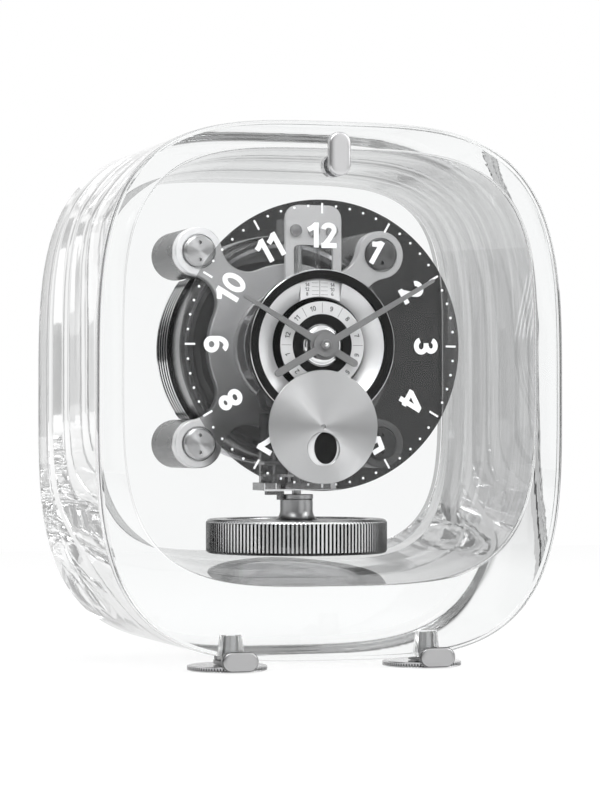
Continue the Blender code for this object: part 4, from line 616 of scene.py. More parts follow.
def crystal_block():
    """The clear block, with smooth walls, rounded edges and a rebate for the rear pane."""

    def outer(inset, y):
        return rounded_power(WIDTH - 2 * inset, HEIGHT - 2 * inset, CASE_POWER, y, MIDDLE)

    edge = 0.8 * MM
    front_edge = 1.8 * MM
    rear_edge = 5.0 * MM
    seat = 1.4 * MM
    rings = [hollow(FRONT_HOLLOW, FRONT + depth, grow) for grow, depth in reversed(rounding(edge, 3))]
    rings += [outer(inset, FRONT + depth) for inset, depth in rounding(front_edge, 5)]
    rings += [outer(0, FRONT + front_edge + edge), outer(0, BACK - rear_edge - edge)]
    rings += [outer(inset, BACK - depth) for inset, depth in reversed(rounding(rear_edge, 7))]
    rings += [hollow(REAR_HOLLOW, BACK, seat), hollow(REAR_HOLLOW, REBATE, seat), hollow(REAR_HOLLOW, REBATE)]
    near = hollow(REAR_HOLLOW, REBATE)
    far = hollow(FRONT_HOLLOW, FRONT + edge)
    for share in (0.01, 0.25, 0.5, 0.75, 0.99):
        rings.append([
            tuple(a + (b - a) * share for a, b in zip(start, end)) for start, end in zip(near, far)
        ])
    made = lofted("crystal_block", rings, CRYSTAL, closed=True, angle=50)

    def zone(face):
        """1 on the hollow's wall, 2 on the rebate and 3 on the rebate's right wall."""
        x, y, z = face.center
        inward = face.normal.x * x + face.normal.z * (z - MIDDLE) < 0
        if inward and abs(face.normal.y) < 0.5 and y < REBATE:
            return 1
        if abs(y - REBATE) < 0.1 * MM or inward and REBATE < y < BACK:
            return 3 if face.normal.y < 0.5 and x > abs(z - MIDDLE) else 2
        return 0

    paint(made, zone, CRYSTAL_INNER, CRYSTAL_SEAT, CRYSTAL_SEAT_DULL)
    tools = []
    for side in ("left", "right"):
        stud = f"foot_stud_{side}"
        place = (middle(stud).x, middle(stud).y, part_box(stud)[1].z - 8.2 * MM)
        tools.append(cutter(((5.6, -3.0), (5.6, 0.0), (4.6, 8.5)), place, 48, axis="Z"))
    dress(cut_with(made, *tools), "crystal", "crystal_case")


def clear_foot():
    """The clear pad under the block's back; its stem sits in the crystal without a seam that shows."""
    centre = middle("rear_foot")
    stem = 4.2
    pad = 3.4
    profile = (
        (8.3, 0.0), (8.85, 0.25), (9.0, 0.8), (9.0, 2.6), (8.7, 3.3), (stem, pad), (stem, pad + 1.2),
        (stem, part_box("rear_foot")[1].z / MM),
    )
    made = turned("clear_foot", profile, FROSTED, (centre.x, centre.y, 0), axis="Z", count=72)
    paint(made, lambda face: out_from(face, "Z") < stem + 0.1 and face.center.z > pad * MM, SEAMLESS)
    dress(made, "crystal", "rear_foot")


def ground_pane(name, node, outline, ground, body="case"):
    """A pane with ground edges, from (depth, inset) pairs and a function for its outline."""
    low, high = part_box(node)
    rings = [outline(inset * MM, low.y + depth * MM) for depth, inset in ground]
    rings += [outline(inset * MM, high.y - depth * MM) for depth, inset in reversed(ground)]
    return lofted(name, rings, PANE, body)


def rear_pane():
    """The pane that carries the movement's pillars."""
    grow = 1.1 * MM

    def outline(inset, y):
        return hollow(REAR_HOLLOW, y, grow - inset)

    made = ground_pane("rear_pane", "rear_glass", outline, ((0, 0.35), (0.35, 0)))
    dress(made, "pane_glass", "rear_glass")


def door_pane():
    """The full-size front pane with its ground edges and the latch's hole."""
    low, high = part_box("front_door")

    def outline(inset, y):
        wide = high.x - low.x - 2 * inset
        return rounded_power(wide, high.z - low.z - 2 * inset, CASE_POWER, y, (high.z + low.z) / 2)

    ground = ((0, 0.9), (0.35, 0.25), (0.9, 0))
    made = ground_pane("door_pane", "front_door", outline, ground, "door")
    axis = middle("latch_cam")
    tool = cutter(((2.5, -3.0), (2.5, 8.0)), (axis.x, low.y, axis.z), 48, "door")
    dress(cut_with(made, tool), "pane_glass", "front_door")


# Movement's carrier

PILLAR_REACH = 40.2  # how far the pillars stand to the side of the dial's centre, and above or below it
PILLARS = {
    "top_left": (-PILLAR_REACH, PILLAR_REACH), "top_right": (PILLAR_REACH, PILLAR_REACH),
    "bottom_left": (-PILLAR_REACH, -PILLAR_REACH), "bottom_right": (PILLAR_REACH, -PILLAR_REACH),
}


def drum_shell():
    """The capsule's housing: a bright smooth side, five ribs with painted highlights on their crests and
    painted shade between them, and a bevelled rim in painted shade.
    """
    depth = front("capsule_drum")
    length = size("capsule_drum").y
    crest = size("capsule_drum").x / 2
    ribbed = 19.0
    pitch = ribbed / 5
    first = length - ribbed - pitch / 2
    root = 46.4
    bore = 40.8
    inside = 44.6
    wall = 2.2
    profile = [
        (bore, 1.6), (43.0, 1.1), (44.5, 0.05), (45.9, 0.0), (46.5, 0.35), (46.8, 1.1), (46.8, first),
    ]
    for rib in range(5):
        for radius, share in (
            (root, 0.10), (root, 0.30), (47.0, 0.38), (crest - 0.35, 0.58), (crest, 0.68),
            (crest - 0.35, 0.78), (47.0, 0.96),
        ):
            profile.append((radius, first + rib * pitch + pitch * share))
    profile += [(root, length - 1.2), (root, length - 0.5), (45.9, length)]
    for groove in (41.0, 27.0, 12.0):
        profile += [
            (groove, length), (groove - 0.3, length - 0.5), (groove - 1.1, length - 0.5),
            (groove - 1.4, length),
        ]
    profile += [(1.0, length), (1.0, length - wall), (inside, length - wall), (inside, 4.4), (bore, 4.4)]
    made = turned("drum_shell", profile, DRUM_METAL, at(0, depth, 0), closed=True, count=160)

    def zone(face):
        """1, painted shade, on the bevelled rim and the step inside it, 2, a painted highlight, on the ribs'
        crests, and 3, painted shade, between them.
        """
        reach = out_from(face)
        along = face.center.y / MM
        if along > first and reach > 46:
            return 2 if reach > crest - 0.25 else 3
        return along < 1.0 and reach > inside or along < 1.7 and 40 < reach < 43.0

    # Painted shade on the rim and between the ribs, a painted highlight on the crests.
    paint(made, zone, DARK_STEEL_AND_PAINTED_SHADE, SILVER_AND_PAINTED_HIGHLIGHT, BLACKED_STEEL_AND_PAINTED_SHADE)
    tools = [cutter(((10.8, -3.0), (10.8, 40.0)), at(x, depth, z)) for x, z in PILLARS.values()]
    dress(cut_with(made, *tools), "dark_steel", "capsule_drum")


def pillar(corner, x, z):
    """A turned pillar with a bright bevel at each end."""
    node = f"pillar_{corner}"
    radius = size(node).z / 2
    length = size(node).y
    bevel = 0.6
    bore = 3.3
    profile = (
        (bore - 1.7, 11.3), (bore, 8.0), (bore, 0), (radius - bevel, 0), (radius, bevel),
        (radius, length - 1.1), (radius - bevel, length),
    )
    made = turned(f"post_{corner}", profile, BRUSHED_ROUND, at(x, front(node), z), count=72)
    dress(made, "brushed_rhodium", node)


def pillar_screw(corner, x, z):
    """The big round screw of a lobe, turned by two small holes. The right two are darker copies, painted
    shade.
    """
    node = f"pillar_screw_{corner}"
    look = {"top_right": STEEL_TURNED_PAINTED_SHADE, "bottom_right": STEEL_TURNED_PAINTED_DEEP_SHADE}.get(corner, STEEL_TURNED)
    head = 6.6
    shank = 3.0
    profile = (
        (0.02, 0.0), (5.7, 0.0), (6.25, 0.18), (head, 0.6), (head, 3.6), (shank, 3.6),
        (shank, size(node).y),
    )
    made = turned(f"screw_{corner}", profile, look, at(x, front(node), z), count=72)
    holes = [at(x, front(node), z + side * 3.6) for side in (-1, 1)]
    tools = [cutter(((0.8, -1.0), (0.8, 1.8)), hole, 24) for hole in holes]
    dress(cut_with(made, *tools), "polished_steel", node)


def bridge_outline(grow=0.0):
    """A disc with four round lobes, blended by hollow curves, as (across, up)."""
    radius = 35.9 + grow
    fillet = 11.6 - grow
    lobe = 10.2 + grow
    corner = PILLAR_REACH * math.sqrt(2)
    near = radius + fillet
    far = lobe + fillet
    swing = math.degrees(math.acos((near**2 + corner**2 - far**2) / (2 * near * corner)))
    wrap = 180 - math.degrees(math.acos((far**2 + corner**2 - near**2) / (2 * far * corner)))
    points = []
    for aim in (45, 135, 225, 315):
        points += bow(0, 0, radius, radius, aim - 90 + swing, aim - swing, 12)
        points += bow(*polar(near, aim - swing), fillet, fillet, aim - swing + 180, aim - wrap + 180, 12)
        points += bow(*polar(corner, aim), lobe, lobe, aim - wrap, aim + wrap, 36)
        points += bow(*polar(near, aim + swing), fillet, fillet, aim + wrap + 180, aim + swing + 180, 12)
    return points


def bridge_plate():
    """The four-lobed plate, with a fine bevel all round and sunk seats for the screws."""
    depth = front("front_bridge")
    bevel = 0.45
    thick = size("front_bridge").y
    rings = [
        upright(bridge_outline(-bevel), 0), upright(bridge_outline(), bevel),
        upright(bridge_outline(), thick),
    ]
    made = lofted("bridge_plate", rings, BRUSHED, place=at(0, depth, 0))
    tools = [cutter(((8.0, -1.0), (8.0, 6.0)), at(0, depth, 0))]
    seat = ((7.7, -1.0), (7.2, 0.35), (7.2, 1.7), (3.3, 1.7), (3.3, 6.0))
    tools += [cutter(seat, at(x, depth, z), 72) for x, z in PILLARS.values()]
    dress(cut_with(made, *tools), "brushed_rhodium", "front_bridge")


# Balance and feet


def balance_ring():
    """The heavy ring with a hundred and thirty-six fine upright ribs between two smooth lips."""
    low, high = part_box("balance_rim")
    height = size("balance_rim").z
    outer = high.x / MM
    inner = outer - 8.5
    lip = 0.3
    groove = 0.95
    circles = (
        (inner, 0.5, 0), (inner + 0.5, 0, 0), (outer - 1.6, 0, 0), (outer - 0.75, 0.25, 0),
        (outer - 0.35, 0.75, 0), (outer, 1.15, lip), (outer, 1.6, groove), (outer, height - 1.8, groove),
        (outer, height - 1.35, lip), (outer - lip, height - 0.95, 0), (outer - 0.7, height - 0.4, 0),
        (outer - 1.5, height, 0), (inner + 0.5, height, 0), (inner, height - 0.5, 0),
    )
    place = (0, (low.y + high.y) / 2, low.z)
    made = toothed(
        "balance_ring", circles, 136, 8, BALANCE_METAL, place, "balance", True,
        lambda wave: min(1.0, max(0.0, (wave - 0.45) * 4)),
    )

    # Painted shade on the ring's lower lip and between its ribs, below their crests.
    def dark(face):
        reach = out_from(face, "Z")
        along = face.center.z / MM
        below = along < 1.25 and reach > outer - 3
        return below or inner + 1 < reach < outer - 0.12 and 1.3 < along < height - 1.5

    paint(made, dark, BLACKED_STEEL_AND_PAINTED_SHADE)
    dress(made, "brushed_rhodium", "balance_rim")


def balance_boss():
    """The web inside the ring, with its flared hub, bright collar and staff."""
    low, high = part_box("balance_hub")
    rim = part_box("balance_rim")[1].z / MM
    base = rim - 0.7
    top = rim + 8.2
    web = size("balance_hub").x / 2
    neck = 6.85
    flare = 3.85
    collar = 7.0
    rise = 4.2
    profile = [(web, low.z / MM), (web, base - 0.6), (web - 1.0, base)]
    profile += bow(neck + flare, base + rise, flare, rise, -90, -180, 15)
    profile += [
        (neck, top - 0.3), (6.6, top), (6.6, top + 0.05), (6.8, top + 0.05), (collar, top + 0.25),
        (collar, top + 1.8), (6.8, top + 2.0), (1.9, top + 2.0), (1.9, high.z / MM),
    ]
    centre = middle("balance_hub")
    made = turned("balance_boss", profile, HUB_METAL, (centre.x, centre.y, 0), "balance", "Z", count=128)
    paint(made, lambda face: face.normal.z < -0.5 and face.center.z < base * MM, SILVER_SATIN)
    dress(made, "brushed_rhodium", "balance_hub")


def level_disc(side):
    """The knurled disc under a front foot."""
    node = f"level_disc_{side}"
    outer = 16.1
    thick = size(node).z
    bore = 2.9
    circles = (
        (15.0, 0, 0), (outer, 0.35, 0.1), (outer, 0.6, 0.45), (outer, 1.7, 0.45), (outer, 1.95, 0.1),
        (15.1, thick, 0), (bore, thick, 0), (bore, 0.85, 0),
    )
    place = (middle(node).x, middle(node).y, 0)
    made = toothed(f"knurled_disc_{side}", circles, 84, 4, STEEL, place, f"level_{side}")
    # Painted shade on the upright faces within the knurl's crests: its grooves and its bore.
    paint(made, lambda face: abs(face.normal.z) < 0.5 and out_from(face, "Z") < outer - 0.22, BLACKED_STEEL_AND_PAINTED_SHADE)
    dress(made, "polished_steel", node)


def bars(name, spans, face, look, slot):
    """Small square-edged parts set on an upright face, as (left, right, low, high, rise)."""
    bm = bmesh.new()
    sunk = 0.2
    for left, right, low, high, rise in spans:
        block(bm, left * MM, right * MM, face - rise * MM, face + sunk * MM, low * MM, high * MM)
    dress(finish(name, bm, look, smooth=False), slot)


def lower_trim():
    """The bright rail, pads and posts on the lower bridge's front."""
    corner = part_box("lower_bridge")[0]
    left = corner.x / MM
    base = corner.z / MM
    foot = base + 0.7
    rail = base + 0.55
    top = base + 3.1
    bars("lower_rail", (
        (left + 0.1, -left - 0.1, base + 0.05, rail, 0.12), (left + 0.1, left + 0.5, rail, top, 0.12),
        (left + 5.0, left + 5.5, rail, top, 0.12), (12.2, 14.6, foot, top, 0.25),
    ), corner.y, SILVER_SATIN, "bright_silver")
    pads = ((14.8, 16.6, foot, top, 0.2), (-9.5, -7.4, foot, top, 0.2))
    bars("lower_pads", pads, corner.y, BLACKED_STEEL_AND_PAINTED_SHADE, "dark_steel")


def centre_dome():
    """The polished dome and collar in the middle of the year ring, under the hands."""
    bore = 4.75
    profile = (
        (bore, -0.10), (5.6, -0.12), (6.9, 0.0), (7.4, 0.35), (7.7, 0.30), (8.1, 0.42), (8.35, 0.75),
        (8.35, 1.25), (bore, 1.25),
    )
    made = turned("centre_dome", profile, DOME_STEEL, at(0, -0.15, 0), "month", closed=True)
    dress(made, "polished_steel")


def nut_stud():
    """The bright tip in the middle of the hands' nut."""
    profile = ((0.35, -0.12), (0.6, 0.0), (0.6, 0.3))
    place = at(0, front("hand_nut"), 0)
    dress(turned("nut_stud", profile, SILVER_AND_PAINTED_HIGHLIGHT, place, "minute", count=32), "bright_silver")


# Dial


def dial_pane():
    """The smoked dial glass."""
    radius = size("dial_glass").x / 2
    thick = size("dial_glass").y
    inner = 31.2
    profile = (
        (inner, 0.1), (inner + 0.1, 0), (radius - 0.25, 0), (radius, 0.2), (radius, thick), (inner, thick),
    )
    made = turned("dial_pane", profile, SMOKED, at(0, 0, 0), closed=True, count=256)
    tool = cutter(((1.3, -1.0), (1.3, 3.0)), at(0, 0, -41.8), 24)
    dress(cut_with(made, tool), "smoked_glass", "dial_glass")


# Strokes of plain digits one unit high; one that ends where it starts is closed
NINE = (
    bow(0.275, 0.69, 0.185, 0.217, 0, 360, 32),
    [(0.46, 0.72), (0.46, 0.52)] + bow(0.255, 0.42, 0.205, 0.327, 0, -135),
)
DIGITS = {
    "0": (bow(0.28, 0.5, 0.187, 0.407, 0, 360, 40),),
    "1": ([(0.31, 0.0), (0.31, 1.0)], [(0.03, 0.70), (0.16, 0.78), (0.31, 0.93)]),
    "2": (
        bow(0.275, 0.715, 0.185, 0.192, 172, -30) + [(0.30, 0.36), (0.12, 0.10)],
        [(0.02, 0.088), (0.55, 0.088)],
    ),
    "3": (
        bow(0.265, 0.722, 0.178, 0.185, 165, -85), bow(0.275, 0.300, 0.198, 0.207, 85, -165),
        [(0.18, 0.512), (0.30, 0.512)],
    ),
    "4": ([(0.425, 0.0), (0.425, 1.0)], [(-0.01, 0.285), (0.57, 0.285)], [(0.055, 0.29), (0.39, 0.93)]),
    "5": (
        [(0.10, 0.912), (0.52, 0.912)], [(0.165, 0.93), (0.115, 0.45)],
        bow(0.275, 0.31, 0.195, 0.217, 150, -160),
    ),
    "6": tuple([(0.56 - x, 1 - y) for x, y in points] for points in NINE),
    "7": ([(0.02, 0.912), (0.55, 0.912)], [(0.475, 0.90), (0.33, 0.60), (0.24, 0.30), (0.20, 0.0)]),
    "8": (bow(0.28, 0.735, 0.168, 0.172, 0, 360, 32), bow(0.28, 0.288, 0.190, 0.195, 0, 360, 32)),
    "9": NINE,
}


def ribbon(bm, points, wide, move):
    """One flat stroke of even width along a line of points."""
    closed = math.dist(points[0], points[-1]) < 1e-9
    if closed:
        points = points[:-1]
    count = len(points)
    left = []
    right = []
    for i, (x, y) in enumerate(points):
        before = points[i - 1] if closed or i else points[i]
        after = points[(i + 1) % count] if closed or i < count - 1 else points[i]
        along = Vector((after[0] - before[0], after[1] - before[1])).normalized()
        left.append(bm.verts.new(move @ Vector((x - along.y * wide / 2, y + along.x * wide / 2, 0))))
        right.append(bm.verts.new(move @ Vector((x + along.y * wide / 2, y - along.x * wide / 2, 0))))
    for i in range(count if closed else count - 1):
        j = (i + 1) % count
        bm.faces.new((left[i], right[i], right[j], left[j]))


def lettering(name, texts, look, body, stroke, lift, stretch=1.22):
    """Plain numbers as thin print: (text, centre x, centre z, degrees clockwise, height)."""
    bm = bmesh.new()
    narrow, broad, gap = 0.40, 0.56, 0.08  # a one's width, the other digits' and the space, in heights
    apart = 0.008  # between crossing strokes
    thick = 0.04
    for text, x, z, turn, tall in texts:
        wides = [(narrow if digit == "1" else broad) * stretch for digit in text]
        start = -(sum(wides) + gap * (len(text) - 1)) / 2
        for digit, wide in zip(text, wides):
            for number, points in enumerate(DIGITS[digit]):
                move = (
                    Matrix.Translation(at(x, -lift - apart * number, z))
                    @ Matrix.Rotation(math.radians(turn), 4, "Y")
                    @ Matrix.Rotation(math.radians(90), 4, "X")
                    @ Matrix.Scale(tall * MM, 4)
                    @ Matrix.Translation((start, -0.5, 0))
                )
                ribbon(bm, [(a * stretch, b) for a, b in points], stroke, move)
            start += wide + gap
    made = bmesh.ops.extrude_face_region(bm, geom=list(bm.faces))
    moved = [v for v in made["geom"] if isinstance(v, bmesh.types.BMVert)]
    bmesh.ops.translate(bm, verts=moved, vec=(0, -thick * MM, 0))
    return finish(name, bm, look, body, smooth=False)


def mark(bm, corners, degrees, behind, thick):
    """A thin print of (across, outward) points, turned clockwise round the dial."""
    turn = math.radians(degrees)
    out = Vector((math.sin(turn), 0, math.cos(turn)))
    across = Vector((math.cos(turn), 0, -math.sin(turn)))
    skin(bm, [
        [at(0, depth, 0) + across * a * MM + out * b * MM for a, b in corners]
        for depth in (behind, behind - thick)
    ])


def dial_numerals():
    """The twelve hours, their tops outward."""
    texts = [(str(hour), *polar(44.9, 90 - 30 * hour), 30 * hour, 10.2) for hour in range(1, 13)]
    dress(lettering("dial_numerals", texts, WHITE, "case", 0.205, 0.02), "bright_silver")


def dial_marks():
    """A tick at each hour and a dot at each minute between them."""
    bm = bmesh.new()
    tick = ((-0.4, 53.7), (0.4, 53.7), (0.4, 58.0), (-0.4, 58.0))
    dot = bow(0, 57.0, 0.52, 0.52, 0, 360, 16)[:-1]
    for minute in range(60):
        mark(bm, dot if minute % 5 else tick, 6 * minute, -0.02, 0.04)
    dress(finish("dial_marks", bm, WHITE, smooth=False), "bright_silver")


def ring_black():
    """The black ring with its bright outer line."""
    inner = 27.2
    outer = 30.9
    profile = (
        (inner, -0.85), (27.4, -1.0), (outer - 0.25, -1.0), (outer, -0.8), (outer, 1.9), (30.0, 3.5),
        (inner, 3.5),
    )
    made = turned("ring_black", profile, BLACK, at(0, 0, 0), closed=True, count=192)

    def line(face):
        return face.center.y < 0.0 and out_from(face) > outer - 0.22 and face.normal.y < -0.2

    paint(made, line, SILVER_AND_PAINTED_HIGHLIGHT)
    dress(made, "black_lacquer", "dial_ring")


def dish():
    """The polished ring that slopes back to the month display, with a slot for the day scale."""
    inner = 19.7
    profile = (
        (26.9, 0.6), (26.9, 3.5), (29.7, 3.5), (27.9, 8.9), (23.9, 8.9), (23.9, 6.7), (inner, 6.7),
        (inner, 4.75), (19.85, 4.6), (26.7, 0.6),
    )
    made = turned("dish", profile, SILVER_SATIN, at(0, 0, 0), closed=True, count=192)
    low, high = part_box("day_scale")
    room = 0.3 * MM
    bm = bmesh.new()
    block(
        bm, low.x - room, high.x + room, DIAL_Y - 1 * MM, high.y + room, low.z - 3 * MM, DIAL_Z + 27.0 * MM,
    )
    tool = finish("tool_slot", bm, STEEL, smooth=False)
    dress(cut_with(made, tool), "bright_silver", "dished_ring")


def month_ring():
    """The pale year ring round a black disc."""
    inner = 8.7
    pale = 12.7
    outer = size("month_disc").x / 2
    profile = (
        (inner, -0.1), (inner + 0.1, -0.2), (pale, -0.2), (outer, -0.2), (outer, 0.8), (inner, 0.8),
    )
    made = turned("month_ring", profile, BLACK, at(0, 0, 0), "month", closed=True, count=144)
    paint(made, lambda face: out_from(face) > pale and face.center.y < -0.1 * MM, RING_PALE)
    dress(made, "black_lacquer", "month_disc")


def month_print():
    """Twelve plain numbers and lines on the year ring, which run backwards as it turns forwards."""
    texts = []
    for month in range(1, 13):
        turn = 15.0 - 30.0 * (month - 9)
        texts.append((str(month), *polar(15.3, 90 - turn), turn, 2.1))
    dress(lettering("month_print", texts, INK, "month", 0.16, 0.21), "black_lacquer")
    bm = bmesh.new()
    for month in range(12):
        mark(bm, ((-0.08, 13.2), (0.08, 13.2), (0.08, 17.4), (-0.08, 17.4)), 30 * month, -0.21, 0.03)
    dress(finish("month_lines", bm, INK, "month", smooth=False), "black_lacquer")


def moon_shield():
    """The brushed plate at six, with the round window and the small peep hole."""
    low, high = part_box("moon_plate")
    centre = (low.z + high.z) / 2
    radius = size("moon_plate").x / 2
    thick = size("moon_plate").y
    edge = 0.2
    profile = ((radius - edge, 0.0), (radius, edge), (radius, thick))
    made = turned("moon_shield", profile, MOON_SILVER, (0, low.y, centre), count=192)
    tools = []
    for bore, drop in ((6.8, -9.0), (0.9, 0.0)):
        shape = ((bore + 0.45, -0.2), (bore, 0.25), (bore, 1.5))
        tools.append(cutter(shape, (0, low.y, centre + drop * MM)))
    dress(cut_with(made, *tools), "brushed_rhodium", "moon_plate")


def rounded_hand(node, body, angle, length, tail, hub, bore):
    """A slim tapering hand with a round tail, a small flat on its tip and its bored hub."""
    root = 1.5
    tip = 0.45
    taper = (tip + 0.3, length - 0.5)
    spread = math.asin(root / hub)
    waist = hub * math.cos(spread)
    spread = math.degrees(spread)
    outline = [taper, (tip, length), (-tip, length), (-taper[0], taper[1]), (-root, waist)]
    outline += bow(0, 0, hub, hub, 90 + spread, 270 - spread, 12)[1:-1] + [(-root, -waist)]
    outline += bow(0, root - tail, root, root, 180, 360, 12) + [(root, -waist)]
    outline += bow(0, 0, hub, hub, -90 + spread, 90 - spread, 12)[1:-1] + [(root, waist)]
    outline.reverse()
    thick = size(node).y
    place = (0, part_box(node)[0].y, DIAL_Z)
    made = extruded(f"{node}_fine", outline, (0, thick), HAND_GREY, place, body, bevel=0.12)
    cut_with(made, cutter(((bore, -1.0), (bore, thick + 1.0)), place, 48, body))
    made.data.transform(Matrix.Rotation(math.radians(angle), 4, "Y"))
    dress(made, "grey_hands", node)


def moon_face():
    """The disc behind the window: pale moon, dark night, and the stub it turns on."""
    low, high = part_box("moon_disc")
    place = (0, low.y, (low.z + high.z) / 2)
    wide, tall, line = 4.9, 6.6, 0.3
    foot = -0.02

    def oval(grow, depth):
        return upright(bow(1.2, 0, wide + grow, tall + grow, 90, -270, 64)[:-1], depth)

    profile = ((10.2, 0.0), (10.4, 0.2), (10.4, 1.0), (3.0, 1.0), (3.0, size("moon_disc").y))
    dress(turned("moon_face", profile, PALE, place, "moon"), "black_lacquer", "moon_disc")
    night = [oval(0, foot), oval(0, foot - 0.03)]
    dress(lofted("moon_night", night, BLACK, "moon", place=place), "black_lacquer")
    rim = [oval(0, foot), oval(0, foot - 0.06), oval(line, foot - 0.06), oval(line, foot)]
    dress(lofted("moon_rim", rim, SILVER_AND_PAINTED_HIGHLIGHT, "moon", True, place=place), "bright_silver")


def scale_plate():
    """The little white scale, its ends following the rings."""
    low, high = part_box("day_scale")
    wide = high.x / MM
    outline = []
    for side, radius in ((1, 26.8), (-1, 19.9)):
        for i in range(13):
            x = side * (wide - 2 * wide * i / 12)
            outline.append((x, math.sqrt(radius**2 - x**2)))
    ends = (0, size("day_scale").y)
    made = extruded("scale_plate", outline, ends, WHITE_SILVER, (0, low.y, DIAL_Z), bevel=0.08)
    dress(made, "bright_silver", "day_scale")


def scale_print():
    """A centre line, small ticks and plain numbers on the little white scale."""
    low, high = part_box("day_scale")
    bm = bmesh.new()

    def bar(x0, x1, z0, z1):
        block(bm, x0 * MM, x1 * MM, low.y - 0.03 * MM, low.y - 0.005 * MM, z0, z1)

    bar(-0.08, 0.08, low.z + 0.4 * MM, high.z + 1.8 * MM)
    bar(-8.5, -8.3, low.z - 1.2 * MM, high.z + 0.7 * MM)
    for step in range(4):
        height = low.z + (1.0 + step * 1.6) * MM
        bar(-3.4, -0.4, height, height + 0.1 * MM)
        bar(0.4, 3.4, height, height + 0.1 * MM)
    dress(finish("scale_lines", bm, INK, smooth=False), "black_lacquer")
    texts = []
    for step, (left, right) in enumerate((("8", "6"), ("12", "10"), ("14", "14"))):
        height = (low.z - DIAL_Z) / MM + 1.3 + step * 1.9
        texts += [(left, -5.4, height, 0, 1.5), (right, 5.4, height, 0, 1.5)]
    lift = (DIAL_Y - low.y) / MM + 0.01
    dress(lettering("scale_print", texts, INK, "case", 0.13, lift), "black_lacquer")


# Latch and clips

CHEEK = 3.2  # how thick the latch's knob and the clips' cheeks are


def latch():
    """The oval knob with soft edges and its spindle."""
    low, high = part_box("latch_knob")
    edge = (
        (2.6, 0.0), (0.9, 0.05), (0.45, 0.2), (0.12, 0.55), (0.0, 1.0), (0.0, CHEEK - 0.4), (0.4, CHEEK),
    )
    wide, deep, tall = size("latch_knob")
    centre = (0, low.y, (low.z + high.z) / 2)
    made = soft_oval("latch_oval", wide, tall, edge, LATCH_STEEL, centre, "latch")
    dress(made, "polished_steel", "latch_knob")
    profile = ((2.2, CHEEK - 0.5), (2.2, deep))
    place = (0, low.y, middle("latch_cam").z)
    dress(turned("latch_spindle", profile, STEEL, place, "latch", count=48), "polished_steel")


def clip(side):
    """A foot's arm with its soft-edged oval cheek."""
    node = f"foot_clip_{side}"
    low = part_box(node)[0]
    centre = middle(node).x
    stem = middle(f"foot_stud_{side}").y
    edge = (
        (2.2, 0.0), (0.8, 0.05), (0.4, 0.2), (0.1, 0.5), (0.0, 0.9), (0.0, CHEEK - 0.4), (0.4, CHEEK),
    )
    tall = 8.0
    made = soft_oval(
        f"clip_oval_{side}", 15.0, tall, edge, CLIP_STEEL, (centre, low.y, low.z + tall / 2 * MM),
    )
    # Painted shade on the cheek's rounded edges and sides.
    paint(made, lambda face: abs(face.normal.y) < 0.8, DARK_STEEL_AND_PAINTED_SHADE)
    dress(made, "polished_steel", node)
    arm = 5.5
    top = 4.34
    start = (low.y - stem) / MM + CHEEK / 2
    outline = [(-arm, start), (arm, start)] + bow(0, 0, arm, 6.2, 0, 180, 16)
    place = (centre, stem, 0)
    # The arm is in the darker steel, painted shade.
    made = extruded(f"clip_arm_{side}", outline, (top - 1.7, top), DARK_STEEL_AND_PAINTED_SHADE, place, axis="Z", bevel=0.25)
    tool = cutter(((2.9, 0.0), (2.9, 8.0)), place, 40, axis="Z")
    dress(cut_with(made, tool), "polished_steel")


# Light, floor and camera

SMOKED_SHARE = 0.945  # the share of the white background's light that the dial's glass keeps back


def kept_back(make, path, straight):
    """The share of light that is held back from a straight look through the dial's glass."""
    through = make.math("GREATER_THAN", path["Transparent Depth"], 0.5)
    first = make.math("LESS_THAN", path["Diffuse Depth"], 0.5)
    return make.times(through, straight, first, SMOKED_SHARE)


def world():
    """White behind the object for the camera, and a studio's soft boxes for metal and glass."""
    studio = bpy.data.worlds.new("studio")
    bpy.context.scene.world = studio
    make = Maker(studio, "ShaderNodeOutputWorld")
    x, y, z = make.split("Generated")

    def smooth(value, dark, bright):
        return make.spread(value, 0.0, 1.0, dark, bright, interpolation_type="SMOOTHSTEP")

    aside = make.math("ABSOLUTE", make.math("SUBTRACT", x, 0.22))
    across = make.math("ABSOLUTE", make.math("SUBTRACT", x, 0.31))
    # Each soft box's strength, and for its edges a coordinate with its dark and its bright end
    boxes = {
        "panel": (1.0, (aside, 0.85, 0.48), (y, 0.0, 0.4), (z, -0.34, -0.14), (z, 0.58, 0.42)),
        "strip": (0.95, (across, 0.36, 0.16), (y, 0.0, -0.2)),
        "upper": (0.7, (x, -0.45, -0.70), (z, 0.15, 0.45)),
        "left": (0.9, (x, -0.40, -0.60), (y, 0.15, 0.35), (z, -0.50, -0.30)),
        "right": (0.60, (x, 0.74, 0.92)),
        "top": (0.9, (z, 0.60, 0.85)),
    }
    level = 0.12
    for strength, *edges in boxes.values():
        level = make.most(level, make.times(*[smooth(*edge) for edge in edges], strength))
    path = make.path()
    straight = make.math("LESS_THAN", path["Glossy Depth"], 0.5)
    behind = make.most(smooth(make.math("ABSOLUTE", y), 0.10, 0.60), 0.25)
    behind = make.most(behind, smooth(make.math("ABSOLUTE", x), 0.90, 0.97))
    level = make.most(level, make.times(straight, behind))
    plain = make.times(path["Is Diffuse Ray"], 0.75)
    shown = make.most(path["Is Camera Ray"], make.most(plain, level))
    strength = make.times(shown, make.math("SUBTRACT", 1.0, kept_back(make, path, straight)))
    back = {"Color": (1, 1, 1, 1), "Strength": strength}
    make.show(make.add("ShaderNodeBackground", back).outputs[0])


